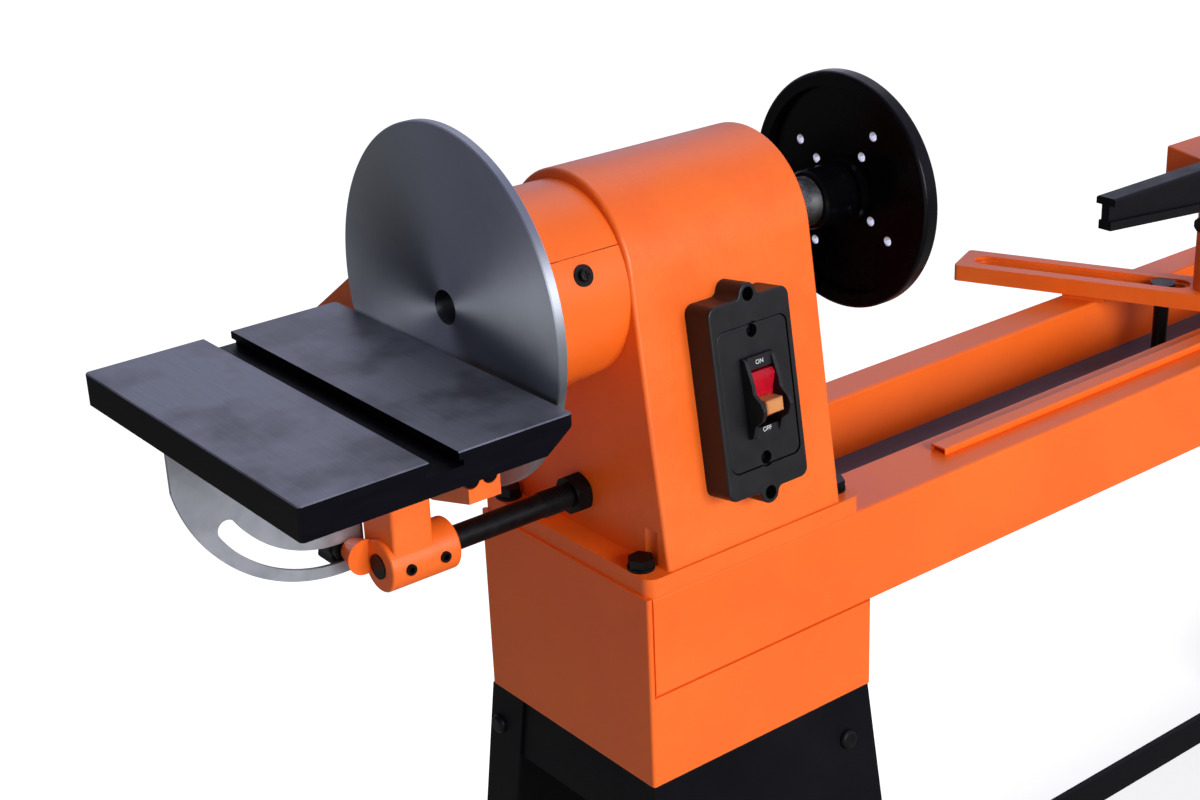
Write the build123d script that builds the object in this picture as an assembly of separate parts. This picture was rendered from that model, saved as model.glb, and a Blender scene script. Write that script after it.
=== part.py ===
from build123d import *
import os
from math import acos, asin, atan2, cos, degrees, hypot, radians, sin, sqrt, tan

# Copy lathe for wood with a sanding disc outboard of the headstock. Millimetres.
# Machine coordinates: x runs from the left end of the bed to the tailstock end, y from the front of
# the bed to the back, z up from the top of the rails. show_frame shifts it to the floor.

# Clearances
GAP = 0.3  # between pieces that move past each other
RUN = 0.05  # radial, shaft in its bearing
PLAY = 0.5  # radial, bolt in its hole
THROUGH = 99  # longer than any hole cut with it

# Bed
BED_LENGTH = 1500
BED_DEPTH = 200
BED_HEIGHT = 780  # rail tops above the floor
RAIL_HEIGHT = 80
FRONT_RAIL = 58
REAR_RAIL = 36
RAIL_WALL = 4
RAIL_CORNER = 3
BASE_LENGTH = 220
BASE_HEIGHT = 73
BASE_WALL = 5
BASE_CORNER = 3
GUIDE_BAR_WIDTH = 30
GUIDE_BAR_THICK = 6
GUIDE_BAR_DROP = 55
STRIP_START = 325
STRIP_FRONT = 23.5
STRIP_WIDTH = 15.5
STRIP_HEIGHT = 6.5
STRIP_WALL = 1.5

# Stand
STAND_WIDTH = 217
STAND_FLARE = 0.176  # outward per unit of drop
STAND_FLANGE = 40
SHEET = 2.5
CROSS_HEIGHT = 55
TIE_DROP = 496.5  # centre of the tie bar below the rail tops
TIE_HEIGHT = 33
TIE_THICK = 6
TIE_TAB = 60
FOOT_HEIGHT = 18
FOOT_RADIUS = 19
STAND_BOLT = 4
STAND_BOLT_DROP = 36  # below the top of the stand
STAND_BOLT_EDGE = 12
STAND_BOLT_X = 28

# Headstock and spindle
SPINDLE_HEIGHT = 212
HEAD_LEFT = 22
HEAD_LENGTH = 166
ARCH_RADIUS = 71
ARCH_BACK = 4.5  # centre of the round top behind the spindle
HEAD_WALL = 9
HEAD_EDGE = 3
EAR_LENGTH = 20
EAR_THICK = 14
EAR_CORNER = 9
HEAD_BOLT = 5
HEAD_BOLT_INSET = 21
HEAD_BOLT_FLATS = 17
WASHER_RADIUS = 10
WASHER_THICK = 2
BEARING_RADIUS = 31
BEARING_WIDTH = 16
BEARING_BOSS = 41
SHAFT_RADIUS = 15
COLLAR_RADIUS = 19
COLLAR_END = 247
NOSE_RADIUS = 16.5
TAPER_RADIUS = 9
THROUGH_RADIUS = 9.5
TOMMY_RADIUS = 4
TOMMY_X = 228
FACEPLATE_FACE = 293
FACEPLATE_RADIUS = 92.4
FACEPLATE_THICK = 14
FACEPLATE_WEB = 7
FACEPLATE_RIM = 11
FACEPLATE_HUB = 23
FACEPLATE_ROOT = 28
FACEPLATE_ROOT_LONG = 8
FACEPLATE_HOLE = 3.6
FACEPLATE_INNER = 35
FACEPLATE_OUTER = 56.5
FACEPLATE_TURN = 33

# Sanding disc, belt drive and guard
DISC_FACE = 83  # left of the bed end
DISC_RADIUS = 125
DISC_THICK = 7
DISC_HOLE = 11.9
DISC_HUB = 30
DISC_HUB_LENGTH = 18
DISC_BORE = 12.5
DISC_SEAT = 12
STEP_RADII = (56, 47, 38, 29)
STEP_WIDTH = 17
PULLEY_LEFT = -56
GROOVE_TOP = 12.5
GROOVE_FLOOR = 8.5
GROOVE_DEPTH = 10
BELT_STEP = 1
BELT_DEPTH = 8
BELT_SIDE = 0.3
MOTOR_BACK = 162  # motor axis behind the spindle
MOTOR_DROP = 107  # and below it
GUARD_RADIUS = 70
GUARD_MOTOR_RADIUS = 62
GUARD_BACK = 4.5  # front end of the guard behind the spindle
GUARD_DROP = 6  # and below it
GUARD_LEFT = -73
GUARD_WALL = 2
GUARD_SEAM = 0.6
GUARD_SCREW_X = -13
GUARD_SCREW_BELOW = 11  # degrees below the seam
MOTOR_RADIUS = 62
MOTOR_LEFT = 24
MOTOR_LENGTH = 206
MOTOR_SHAFT = 8
MOTOR_SEAT = 40
FIN_COUNT = 30
FIN_DEPTH = 5
FIN_GAP = 5

# Switch
SWITCH_X = 101
SWITCH_UP = 125.4  # along the front face
SWITCH_WIDTH = 74
SWITCH_TALL = 140
SWITCH_DEEP = 25
SWITCH_CORNER = 7
SWITCH_WALL = 3
EAR_SPACING = 144
SWITCH_EAR = 8
EAR_FLARE = 5
EAR_SINK = 15
SWITCH_SCREW_HOLE = 3
PLATE_WIDTH = 64
PLATE_TALL = 102
PLATE_THICK = 3
PLATE_SCREWS = 92
PLATE_CORNER = 7
PLATE_EDGE = 0.8
PLATE_CUP = 8  # deep, behind the plate
PLATE_CUP_RADIUS = 6.5
PLATE_CUP_FLOOR = 2.5
PADDLE_WIDTH = 21
PADDLE_TALL = 36
PADDLE_TILT = 18
PADDLE_PIN = 2
PADDLE_LUG = 4.5
KEY_WIDTH = 15.5
KEY_TALL = 10
KEY_UP = -6  # from the middle of the paddle
HOOD_HALF = 29
KEY_DEEP = 19
KEY_SEAT = 4
KEY_DRAW = 14
CHEEK = 3
SCREW_HEAD = 4.5
SCREW_SHANK = 2.5
SCREW_HEAD_TALL = 3

# Sanding table
TABLE_TOP = 180.5
TABLE_THICK = 23
TABLE_WIDTH = 195.5
TABLE_LENGTH = 280
TABLE_TO_DISC = 2.5
TABLE_BEVEL = 16
TABLE_RIB = 5.2
TABLE_RIB_LONG = 16
TABLE_RIB_X = (-8.8, 4.6)  # from the middle of the trunnion arm
TABLE_RIB_AHEAD = 1.5  # of the front end of the arm
SLOT_LEFT = 88.5  # from the left edge of the table
SLOT_WIDTH = 21.5
SLOT_DEPTH = 9.5
SLOT_LIP = 3
SLOT_UNDERCUT = 4
PIVOT_X = -164
PIVOT_Z = 142
PIVOT_PIN = 6
PIVOT_BOSS = 14
TILT_MAX = 45
LUG_FRONT = 60
RIB_FRONT = 86
RIB_BACK = 112
LUG_BACK = 126
TRUNNION_WIDTH = 23.5
TRUNNION_X = -152.5
TRUNNION_DEEP_AT = 4.5
TRUNNION_FRONT = -37
TRUNNION_TIP = 15.2
TRUNNION_PLATE = 10
TRUNNION_REACH = 52
QUADRANT_FRONT = 128.5
QUADRANT_THICK = 3
QUADRANT_RADIUS = 121.6
QUADRANT_SHIFT_X = 2.7
QUADRANT_SHIFT_Z = 10.8
QUADRANT_RIGHT = 19  # right of the pivot
TILT_RADIUS = 95.2
TILT_SLOT = 14
TILT_STUD_AT = 275  # degrees round the pivot at rest
TILT_SLOT_FROM = 211.5
TILT_SLOT_TO = 275.6
STUD_RADIUS = 5
STUD_BOSS = 13
STUD_END = 8.2
KNOB_RADIUS = 16
KNOB_THICK = 18
KNOB_LOBES = 5
ROD_RADIUS = 9
ROD_HEIGHT = 43
ROD_LEFT = -153
ROD_NUT_FLATS = 27
ROD_NUT_THICK = 13
BOSS_RADIUS = 19
BOSS_LEFT = -152
BOSS_LENGTH = 56
UPRIGHT_X = (-148, -116)
UPRIGHT_Y = (84, 124)
UPRIGHT_TOP = 100
BRACKET_PULL = 25
SETSCREW_RADIUS = 4
SETSCREW_X = (14, 42)  # from the left end of the boss

# Banjo and tool rest
CLAMP_X = 723
CLAMP_Y = 118
CLAMP_BOLT = 7
CLAMP_PLATE_THICK = 12
CLAMP_PLATE_WIDTH = 50
CLAMP_PLATE_GRIP = 20
CLAMP_NUT_FLATS = 22
CLAMP_NUT_TALL = 14
CLAMP_HEAD_THICK = 2.4
BANJO_ANGLE = 23.7  # from straight forward towards the tailstock
BANJO_REAR = 195
BANJO_WIDTH = 49
BANJO_THICK = 15.5
BANJO_SLOT = 16
BANJO_SLOT_FROM = 178
BANJO_SLOT_TO = 21
BANJO_SLOT_STEP = 3
BANJO_RIB = (-90, -50)  # along the arm, over the rear rail
BANJO_RIB_INSET = 8
POST_AHEAD = 47.5
POST_RADIUS = 20
POST_TOP = 98
SLEEVE_RADIUS = 14
SLEEVE_LIP = 17
SLEEVE_LIP_THICK = 2
STEM_RADIUS = 10
REST_LENGTH = 336
REST_TOP = 147
REST_WIDTH = 20
REST_END_DEEP = 29
REST_MID_DEEP = 41
REST_FLANGE = 7
REST_WEB = 8
REST_BEAD = 13
STEM_LENGTH = 84
LOCK_UP = 90
LOCK_SCREW = 4
LOCK_KNOB = 7.5
LOCK_KNOB_LONG = 11

# Tailstock
TAIL_INSET = 180  # left end of the base from the right end of the bed
TAIL_LENGTH = 150
TAIL_FRONT = 42
TAIL_BASE = 30
TAIL_TONGUE = 15
TAIL_COLUMN_LEFT = 42  # from the left end of the base
TAIL_COLUMN_LENGTH = 100
TAIL_COLUMN_HALF = 48
BARREL_RADIUS = 34
BARREL_START = 10  # from the left end of the base
BARREL_LENGTH = 145
BARREL_CAP = 14
QUILL_RADIUS = 17
QUILL_OUT = 5
QUILL_LENGTH = 100
QUILL_TRAVEL = 80
QUILL_BORE = 10
SCREW_RADIUS = 8
SCREW_PITCH = 4
CENTER_OUT = 39  # tip ahead of the barrel
CENTER_RADIUS = 12
CENTER_CONE = 21
CENTER_SHANK = 9
CENTER_SHANK_LONG = 40
WHEEL_RADIUS = 72
WHEEL_RIM = 9
WHEEL_HUB = 18
WHEEL_THICK = 16
CRANK_RADIUS = 9
CRANK_LONG = 42
LEVER_ARM = 62
LEVER_RADIUS = 5
TAIL_BOLT_X = 21  # from the left end of the base
TAIL_BOLT_Y = 111
QUILL_LOCK_X = 70  # from the left end of the barrel

# Copying attachment
CARRIAGE_INSET = 420  # left end of the saddle from the right end of the bed
CARRIAGE_LENGTH = 120
CARRIAGE_APRON = 14
CARRIAGE_LAP = 35
CARRIAGE_BASE = 34
COLUMN_WIDTH = 60
COLUMN_FRONT = -12
COLUMN_BACK = 36
WAY_WIDTH = 50
WAY_FRONT = -34
WAY_DROP = 26  # underside of the ways below the spindle
WAY_TALL = 12
SLIDE_WIDTH = 70
SLIDE_PLATE = 8
SLIDE_FRONT = -78
SLIDE_BACK = 40
SLIDE_TRAVEL = 30
CUTTER_SIZE = 12
CUTTER_TIP = 45
GRIP_RADIUS = 14
GRIP_STEM = 6
FOLLOWER_THICK = 8
FOLLOWER_WIDTH = 12
FOLLOWER_HEIGHT = 118
FOLLOWER_PIN = 5
FOLLOWER_END = 118
BRACKET_LEFT = 827
BRACKET_SPACING = 213  # from one bracket to the other
TEMPLATE_POST = 46
TEMPLATE_REACH = 76  # of the head past the post
TEMPLATE_FRONT = 156
TEMPLATE_TOP = 116.5
TEMPLATE_FALL = 0.16  # of the head's top towards the front
TEMPLATE_HEAD = 34
TEMPLATE_SCREW = 3
TEMPLATE_DROP = 30
TEMPLATE_WALL = 8

# Positions that follow from the sizes above
SPINDLE_Y = BED_DEPTH / 2
STAND_TOP = -RAIL_HEIGHT - BASE_HEIGHT
STAND_FOOT = FOOT_HEIGHT - BED_HEIGHT
HEAD_RIGHT = HEAD_LEFT + HEAD_LENGTH
AXIS = (SPINDLE_Y, SPINDLE_HEIGHT)
MOTOR_AXIS = (SPINDLE_Y + MOTOR_BACK, SPINDLE_HEIGHT - MOTOR_DROP)
ARCH_AXIS = (SPINDLE_Y + ARCH_BACK, SPINDLE_HEIGHT)
GUARD_AXIS = (SPINDLE_Y + GUARD_BACK, SPINDLE_HEIGHT - GUARD_DROP)
GUARD_TURN = degrees(atan2(MOTOR_AXIS[1] - GUARD_AXIS[1], MOTOR_AXIS[0] - GUARD_AXIS[0]))
TABLE_RIGHT = -DISC_FACE - TABLE_TO_DISC
TABLE_LEFT = TABLE_RIGHT - TABLE_WIDTH
TABLE_BOTTOM = TABLE_TOP - TABLE_THICK
TABLE_FRONT = SPINDLE_Y - TABLE_LENGTH / 2
TABLE_BACK = SPINDLE_Y + TABLE_LENGTH / 2
STUD_X = PIVOT_X + TILT_RADIUS * cos(radians(TILT_STUD_AT))
STUD_Z = PIVOT_Z + TILT_RADIUS * sin(radians(TILT_STUD_AT))
BANJO_BOTTOM = STRIP_HEIGHT + GAP
BANJO_TOP = BANJO_BOTTOM + BANJO_THICK
BANJO_DIR = (sin(radians(BANJO_ANGLE)), -cos(radians(BANJO_ANGLE)))
POST_X = CLAMP_X + POST_AHEAD * BANJO_DIR[0]
POST_Y = CLAMP_Y + POST_AHEAD * BANJO_DIR[1]
UNDER_RAIL = -RAIL_HEIGHT - GAP
TAIL_LEFT = BED_LENGTH - TAIL_INSET
BARREL_LEFT = TAIL_LEFT + BARREL_START
BARREL_RIGHT = BARREL_LEFT + BARREL_LENGTH
CENTER_TIP = BARREL_LEFT - CENTER_OUT
CARRIAGE_LEFT = BED_LENGTH - CARRIAGE_INSET
COLUMN_X = CARRIAGE_LEFT + CARRIAGE_LENGTH / 2
WAY_BOTTOM = SPINDLE_HEIGHT - WAY_DROP
WAY_TOP = WAY_BOTTOM + WAY_TALL
SLIDE_TOP = SPINDLE_HEIGHT - CUTTER_SIZE / 2
QUILL_LEFT = BARREL_LEFT - QUILL_OUT
WHEEL_LEFT = BARREL_RIGHT + GAP
TAIL_BOLT = (TAIL_LEFT + TAIL_BOLT_X, TAIL_BOLT_Y)
PADDLE_PIVOT = SWITCH_DEEP - 4  # from the front face, along the switch plane's normal


def side_lean(run):
    """Lean in degrees of a headstock side whose foot is a run away from the arch centre."""
    return 90 - degrees(atan2(SPINDLE_HEIGHT, run) + asin(ARCH_RADIUS / hypot(run, SPINDLE_HEIGHT)))


FACE_LEAN = side_lean(ARCH_AXIS[0])
BACK_LEAN = side_lean(BED_DEPTH - ARCH_AXIS[0])
SWITCH_PLANE = Plane(
    (SWITCH_X, SWITCH_UP * sin(radians(FACE_LEAN)), SWITCH_UP * cos(radians(FACE_LEAN))),
    x_dir=(1, 0, 0),
    z_dir=(0, -cos(radians(FACE_LEAN)), sin(radians(FACE_LEAN))))


def block(x, y, z):
    """Box between three (low, high) pairs."""
    low = Vector(x[0], y[0], z[0])
    high = Vector(x[1], y[1], z[1])
    return Pos((low + high) * 0.5) * Box(*(high - low))


def rod(radius, start, axis, length):
    """Cylinder from a start point along an axis."""
    ends = (Align.CENTER, Align.CENTER, Align.MIN)
    return Plane(start, z_dir=axis) * Cylinder(radius, length, align=ends)


def rod_x(radius, x, centre):
    return rod(radius, (x[0], *centre), (1, 0, 0), x[1] - x[0])


def rod_y(radius, y, centre):
    return rod(radius, (centre[0], y[0], centre[1]), (0, 1, 0), y[1] - y[0])


def rod_z(radius, z, centre):
    return rod(radius, (*centre, z[0]), (0, 0, 1), z[1] - z[0])


def polygon(*points):
    return make_face(Polyline(*points, close=True))


def prism(outline, axis, low, high):
    """Flat outline in the two other coordinates, swept from low to high along an axis."""
    if axis == "x":
        plane = Plane((low, 0, 0), x_dir=(0, 1, 0), z_dir=(1, 0, 0))
        return extrude(plane * outline, high - low, dir=(1, 0, 0))
    if axis == "y":
        plane = Plane((0, low, 0), x_dir=(1, 0, 0), z_dir=(0, -1, 0))
        return extrude(plane * outline, high - low, dir=(0, 1, 0))
    return extrude(Plane((0, 0, low)) * outline, high - low, dir=(0, 0, 1))


def capsule(a, radius_a, b, radius_b):
    """Outline of two circles with their outer tangents."""
    along = atan2(b[1] - a[1], b[0] - a[0])
    lean = acos((radius_a - radius_b) / hypot(b[0] - a[0], b[1] - a[1]))
    corners = []
    for centre, radius, side in ((a, radius_a, 1), (b, radius_b, 1), (b, radius_b, -1), (a, radius_a, -1)):
        turn = along + side * lean
        corners.append((centre[0] + radius * cos(turn), centre[1] + radius * sin(turn)))
    return polygon(*corners) + Pos(*a) * Circle(radius_a) + Pos(*b) * Circle(radius_b)


def hexagon(flats):
    return RegularPolygon(flats / 2, 6, major_radius=False)


def mirrored_x(shape):
    return mirror(shape, Plane((BED_LENGTH / 2, 0, 0), x_dir=(0, 1, 0), z_dir=(1, 0, 0)))


def mirrored_y(shape):
    return mirror(shape, Plane((0, BED_DEPTH / 2, 0), x_dir=(1, 0, 0), z_dir=(0, 1, 0)))


def group(shapes):
    return Compound(children=list(shapes))


# Stand


def panel_y(z):
    """Outside of the front panel at a height."""
    return -(STAND_TOP - z) * STAND_FLARE


def panel_band(width, low, high):
    """Band of the front panel, width deep, between two heights."""
    return polygon(
        (panel_y(low), low), (panel_y(low) + width, low),
        (panel_y(high) + width, high), (panel_y(high), high))


def side_bolt_spots():
    """Carriage bolts through the outer flange: (y, z)."""
    z = STAND_TOP - STAND_BOLT_DROP
    front = panel_y(z) + STAND_BOLT_EDGE
    return [(front, z), (BED_DEPTH - front, z)]


def tie_bolt_spots():
    z = -TIE_DROP
    front = panel_y(z) + STAND_BOLT_EDGE
    return [(front, z), (BED_DEPTH - front, z)]


def front_bolt_x():
    return [STAND_BOLT_X, STAND_WIDTH - STAND_BOLT_X]


def stand_front():
    """Front panel of the left pedestal, folded from one sheet."""
    wide = (0, STAND_WIDTH)
    panel = prism(panel_band(SHEET, STAND_FOOT, STAND_TOP), "x", *wide)
    flange = panel_band(STAND_FLANGE, STAND_FOOT, STAND_TOP)
    panel += prism(flange, "x", 0, SHEET)
    panel += prism(flange, "x", STAND_WIDTH - SHEET, STAND_WIDTH)
    toe = panel_y(STAND_FOOT)
    panel += block(wide, (0, STAND_FLANGE), (STAND_TOP - SHEET, STAND_TOP))
    panel += block(wide, (toe, toe + STAND_FLANGE + 10), (STAND_FOOT, STAND_FOOT + SHEET))
    hole = STAND_BOLT + PLAY
    for x in front_bolt_x():
        panel -= rod_y(hole, (-90, STAND_FLANGE / 2), (x, STAND_TOP - STAND_BOLT_DROP))
    for spot in side_bolt_spots()[:1]:
        panel -= rod_x(hole, (-1, SHEET + 1), spot)
    for spot in tie_bolt_spots()[:1]:
        panel -= rod_x(hole, (STAND_WIDTH - SHEET - 1, STAND_WIDTH + 1), spot)
    for x, y in foot_spots()[:2]:
        panel -= rod_z(STAND_BOLT + PLAY, (STAND_FOOT - 1, STAND_FOOT + SHEET + 1), (x, y))
    return panel


def cross_outline(low, high):
    """Plate between the front and rear panels, inside their folds."""
    inset = SHEET + 1
    return polygon(
        (panel_y(low) + inset, low), (BED_DEPTH - panel_y(low) - inset, low),
        (BED_DEPTH - panel_y(high) - inset, high), (panel_y(high) + inset, high))


def stand_cross_plates():
    """Outer top plate and inner tie-bar plate of the left pedestal."""
    hole = STAND_BOLT + PLAY
    top = prism(cross_outline(STAND_TOP - CROSS_HEIGHT, STAND_TOP - SHEET), "x", SHEET, 2 * SHEET)
    for spot in side_bolt_spots():
        top -= rod_x(hole, (0, 3 * SHEET), spot)
    half = TIE_HEIGHT
    inner = STAND_WIDTH - 2 * SHEET
    tie = prism(cross_outline(-TIE_DROP - half, -TIE_DROP + half), "x", inner, inner + SHEET)
    for spot in tie_bolt_spots():
        tie -= rod_x(hole, (inner - 1, inner + 2 * SHEET), spot)
    return [top, tie]


def foot_spots():
    """Feet of the left pedestal: (x, y)."""
    y = panel_y(STAND_FOOT) + STAND_FLANGE / 2 + 5
    return [(x, row) for row in (y, BED_DEPTH - y) for x in (32, STAND_WIDTH - 32)]


def foot(spot):
    """Rubber foot with its screw, below and through the bottom fold."""
    pad = rod_z(FOOT_RADIUS, (-BED_HEIGHT, STAND_FOOT), spot)
    pad = chamfer(pad.edges().group_by(Axis.Z)[0], 2)
    stud = rod_z(STAND_BOLT, (STAND_FOOT - 1, STAND_FOOT + 12), spot)
    nut = Pos(*spot, STAND_FOOT + SHEET) * extrude(hexagon(13), 6)
    return pad + stud + nut


def carriage_bolt(grip):
    """Domed bolt along +Z with its head on z = 0 below and its nut past the grip."""
    dome = Pos(0, 0, -4) * Cylinder(8, 4, align=(Align.CENTER, Align.CENTER, Align.MIN))
    dome = fillet(dome.edges().group_by(Axis.Z)[0], 3.4)
    shank = rod_z(STAND_BOLT, (-1, grip + 10), (0, 0))
    nut = Pos(0, 0, grip) * extrude(hexagon(13), 6.5)
    return dome + shank + nut


def stand_bolts():
    bolts = []
    for y, z in side_bolt_spots():
        bolts.append(Plane((0, y, z), z_dir=(1, 0, 0)) * carriage_bolt(2 * SHEET))
    for y, z in tie_bolt_spots():
        bolts.append(Plane((STAND_WIDTH, y, z), z_dir=(-1, 0, 0)) * carriage_bolt(2 * SHEET))
    z = STAND_TOP - STAND_BOLT_DROP
    lean = Vector(0, 1, -STAND_FLARE).normalized()
    for x in front_bolt_x():
        bolt = Plane((x, panel_y(z), z), z_dir=lean) * carriage_bolt(SHEET)
        bolts += [bolt, mirrored_y(bolt)]
    return bolts + [mirrored_x(bolt) for bolt in bolts]


def tie_bar():
    """Channel between the two inner plates with its ends turned up as tabs."""
    left = STAND_WIDTH - SHEET
    right = BED_LENGTH - left
    low, high = -TIE_DROP - TIE_HEIGHT / 2, -TIE_DROP + TIE_HEIGHT / 2
    half = TIE_THICK / 2
    bar = block((left, right), (SPINDLE_Y - half, SPINDLE_Y + half), (low, high))
    for x in ((left, left + TIE_THICK), (right - TIE_THICK, right)):
        bar += block(x, (SPINDLE_Y - TIE_TAB / 2, SPINDLE_Y + TIE_TAB / 2), (low, high))
    return bar


# Bed


def rail(y):
    """Square tube between the end plates."""
    long = (BASE_WALL, BED_LENGTH - BASE_WALL)
    tube = block(long, y, (-RAIL_HEIGHT, 0))
    tube = fillet(tube.edges().filter_by(Axis.X), RAIL_CORNER)
    tube -= block(long, (y[0] + RAIL_WALL, y[1] - RAIL_WALL), (RAIL_WALL - RAIL_HEIGHT, -RAIL_WALL))
    for x, bolt_y in head_bolt_spots():
        tube -= rod_z(HEAD_BOLT, (-RAIL_WALL - 1, 1), (x, bolt_y))
    return tube


def base_box():
    """Welded box under the left end of the rails with the bed's end plate."""
    deep = (0, BED_DEPTH)
    shell = block((0, BASE_LENGTH), deep, (STAND_TOP, -RAIL_HEIGHT))
    shell += block((0, BASE_WALL), deep, (STAND_TOP, 0))
    shell = fillet(shell.edges().filter_by(Axis.Z), BASE_CORNER * 0.8)
    inside = (BASE_WALL, BASE_LENGTH - BASE_WALL)
    shell -= block(inside, (BASE_WALL, BED_DEPTH - BASE_WALL), (STAND_TOP + BASE_WALL, 1 - RAIL_HEIGHT))
    low, high = clamp_plate_y()
    passage = (UNDER_RAIL - 2 * CLAMP_PLATE_THICK, 1 - RAIL_HEIGHT)
    return shell - block((inside[1] - 1, BASE_LENGTH + 1), (low - 4, high + 4), passage)


def guide_bar():
    """Flat bar along the inside of the rear rail."""
    back = BED_DEPTH - REAR_RAIL
    ends = (BASE_LENGTH, BED_LENGTH - BASE_LENGTH)
    return block(ends, (back - GUIDE_BAR_WIDTH, back), (-GUIDE_BAR_DROP - GUIDE_BAR_THICK, -GUIDE_BAR_DROP))


def guide_strip():
    """Flattened tube on the front rail that guides the copying carriage."""
    long = (STRIP_START, BED_LENGTH - BASE_WALL)
    y = (STRIP_FRONT, STRIP_FRONT + STRIP_WIDTH)
    tube = block(long, y, (0, STRIP_HEIGHT))
    tube = fillet(tube.edges().filter_by(Axis.X), 1.8)
    return tube - block(long, (y[0] + STRIP_WALL, y[1] - STRIP_WALL), (STRIP_WALL, STRIP_HEIGHT - STRIP_WALL))


# Headstock


def head_bolt_spots():
    """Hold-down bolts: (x, y)."""
    rows = (HEAD_BOLT_INSET, BED_DEPTH - HEAD_BOLT_INSET)
    return [(x, y) for x in (HEAD_LEFT - EAR_LENGTH / 2, HEAD_RIGHT + EAR_LENGTH / 2) for y in rows]


def arch_touch(foot, radius):
    """Where the side that starts at a foot on the bed meets the round top."""
    run = ARCH_AXIS[0] - foot
    reach = hypot(run, SPINDLE_HEIGHT)
    rise = atan2(SPINDLE_HEIGHT, abs(run)) + asin(radius / reach)
    side = sqrt(reach ** 2 - radius ** 2)
    along = side * cos(rise)
    return (foot + along if run > 0 else foot - along), side * sin(rise)


def arch(radius, inset):
    """Casting outline in y and z: a round top over sides that lean in."""
    front, back = inset, BED_DEPTH - inset
    sides = polygon((front, 0), (back, 0), arch_touch(back, radius), arch_touch(front, radius))
    return sides + Pos(*ARCH_AXIS) * Circle(radius)


def headstock():
    """Hollow casting with ears, bearing housings and the support rod's hole."""
    body = prism(arch(ARCH_RADIUS, 0), "x", HEAD_LEFT, HEAD_RIGHT)
    rims = [e for e in body.edges().filter_by(Axis.X, reverse=True) if e.center().Z > 1]
    body = fillet(rims, HEAD_EDGE)
    ears = block((HEAD_LEFT - EAR_LENGTH, HEAD_RIGHT + EAR_LENGTH), (0, BED_DEPTH), (0, EAR_THICK))
    ears = fillet(ears.edges().filter_by(Axis.Z), EAR_CORNER)
    body += ears
    inner = arch(ARCH_RADIUS - HEAD_WALL, HEAD_WALL)
    body -= prism(inner, "x", HEAD_LEFT + HEAD_WALL, HEAD_RIGHT - HEAD_WALL)
    for left, right in bearing_pockets():
        body += rod_x(BEARING_BOSS, (left[0], left[1]), AXIS)
        body -= rod_x(BEARING_RADIUS, (right[0], right[1]), AXIS)
    body -= rod_x(COLLAR_RADIUS + 1, (HEAD_LEFT - 1, HEAD_RIGHT + 1), AXIS)
    body -= rod_x(ROD_RADIUS, (HEAD_LEFT - 1, HEAD_LEFT + HEAD_WALL + 1), (SPINDLE_Y, ROD_HEIGHT))
    for x, y in head_bolt_spots():
        body -= rod_z(HEAD_BOLT + PLAY, (-1, EAR_THICK + 1), (x, y))
        body -= rod_z(WASHER_RADIUS + 2, (EAR_THICK, EAR_THICK + 26), (x, y))
    return body - switch_holes()


def bearing_pockets():
    """(housing, pocket) x spans of the left and right bearings."""
    deep = BEARING_WIDTH + 2
    lip = 4
    return [
        ((HEAD_LEFT, HEAD_LEFT + deep + lip), (HEAD_LEFT - 1, HEAD_LEFT + deep)),
        ((HEAD_RIGHT - deep - lip, HEAD_RIGHT), (HEAD_RIGHT - deep, HEAD_RIGHT + 1))]


def switch_holes():
    """Wiring hole and the two screw holes behind the switch."""
    holes = Pos(0, 0, -HEAD_WALL) * Cylinder(9, 4 * HEAD_WALL)
    for side in (-1, 1):
        holes += Pos(0, side * EAR_SPACING / 2, 0) * Cylinder(SCREW_SHANK, 4 * HEAD_WALL)
    return SWITCH_PLANE * holes


def head_bolts():
    bolts = []
    for x, y in head_bolt_spots():
        head = EAR_THICK + WASHER_THICK
        bolt = rod_z(WASHER_RADIUS, (EAR_THICK, head), (x, y))
        bolt += Pos(x, y, head) * extrude(hexagon(HEAD_BOLT_FLATS), 6.5)
        bolt += rod_z(HEAD_BOLT, (-RAIL_WALL - 4, head), (x, y))
        bolts.append(bolt)
    return bolts


def bearing(left):
    """Ball bearing as one ring with a shield recess on each side."""
    x = (left, left + BEARING_WIDTH)
    ring = rod_x(BEARING_RADIUS, x, AXIS) - rod_x(SHAFT_RADIUS + RUN, x, AXIS)
    for side in ((x[0], x[0] + 1), (x[1] - 1, x[1])):
        ring -= rod_x(BEARING_RADIUS - 5, side, AXIS) - rod_x(SHAFT_RADIUS + 5, side, AXIS)
    return ring


def bearings():
    return [bearing(HEAD_LEFT + 2), bearing(HEAD_RIGHT - 2 - BEARING_WIDTH)]


# Spindle


def spindle():
    """Shaft with the disc seat on the left and the threaded nose on the right."""
    seat = -DISC_FACE + DISC_THICK + DISC_HUB_LENGTH
    shoulder = HEAD_RIGHT - 2 + GAP
    shaft = rod_x(DISC_BORE, (seat - DISC_SEAT, seat), AXIS)
    shaft += rod_x(SHAFT_RADIUS, (seat, shoulder), AXIS)
    collar = rod_x(COLLAR_RADIUS, (shoulder, COLLAR_END), AXIS)
    shaft += chamfer(collar.edges().filter_by(GeomType.CIRCLE), 1)
    shaft += rod_x(NOSE_RADIUS, (COLLAR_END, FACEPLATE_FACE - 3), AXIS)
    shaft -= rod_x(THROUGH_RADIUS, (seat - DISC_SEAT - 1, FACEPLATE_FACE - 63), AXIS)
    shaft -= rod_x(TAPER_RADIUS, (FACEPLATE_FACE - 64, FACEPLATE_FACE), AXIS)
    return shaft - tommy_hole()


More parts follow.
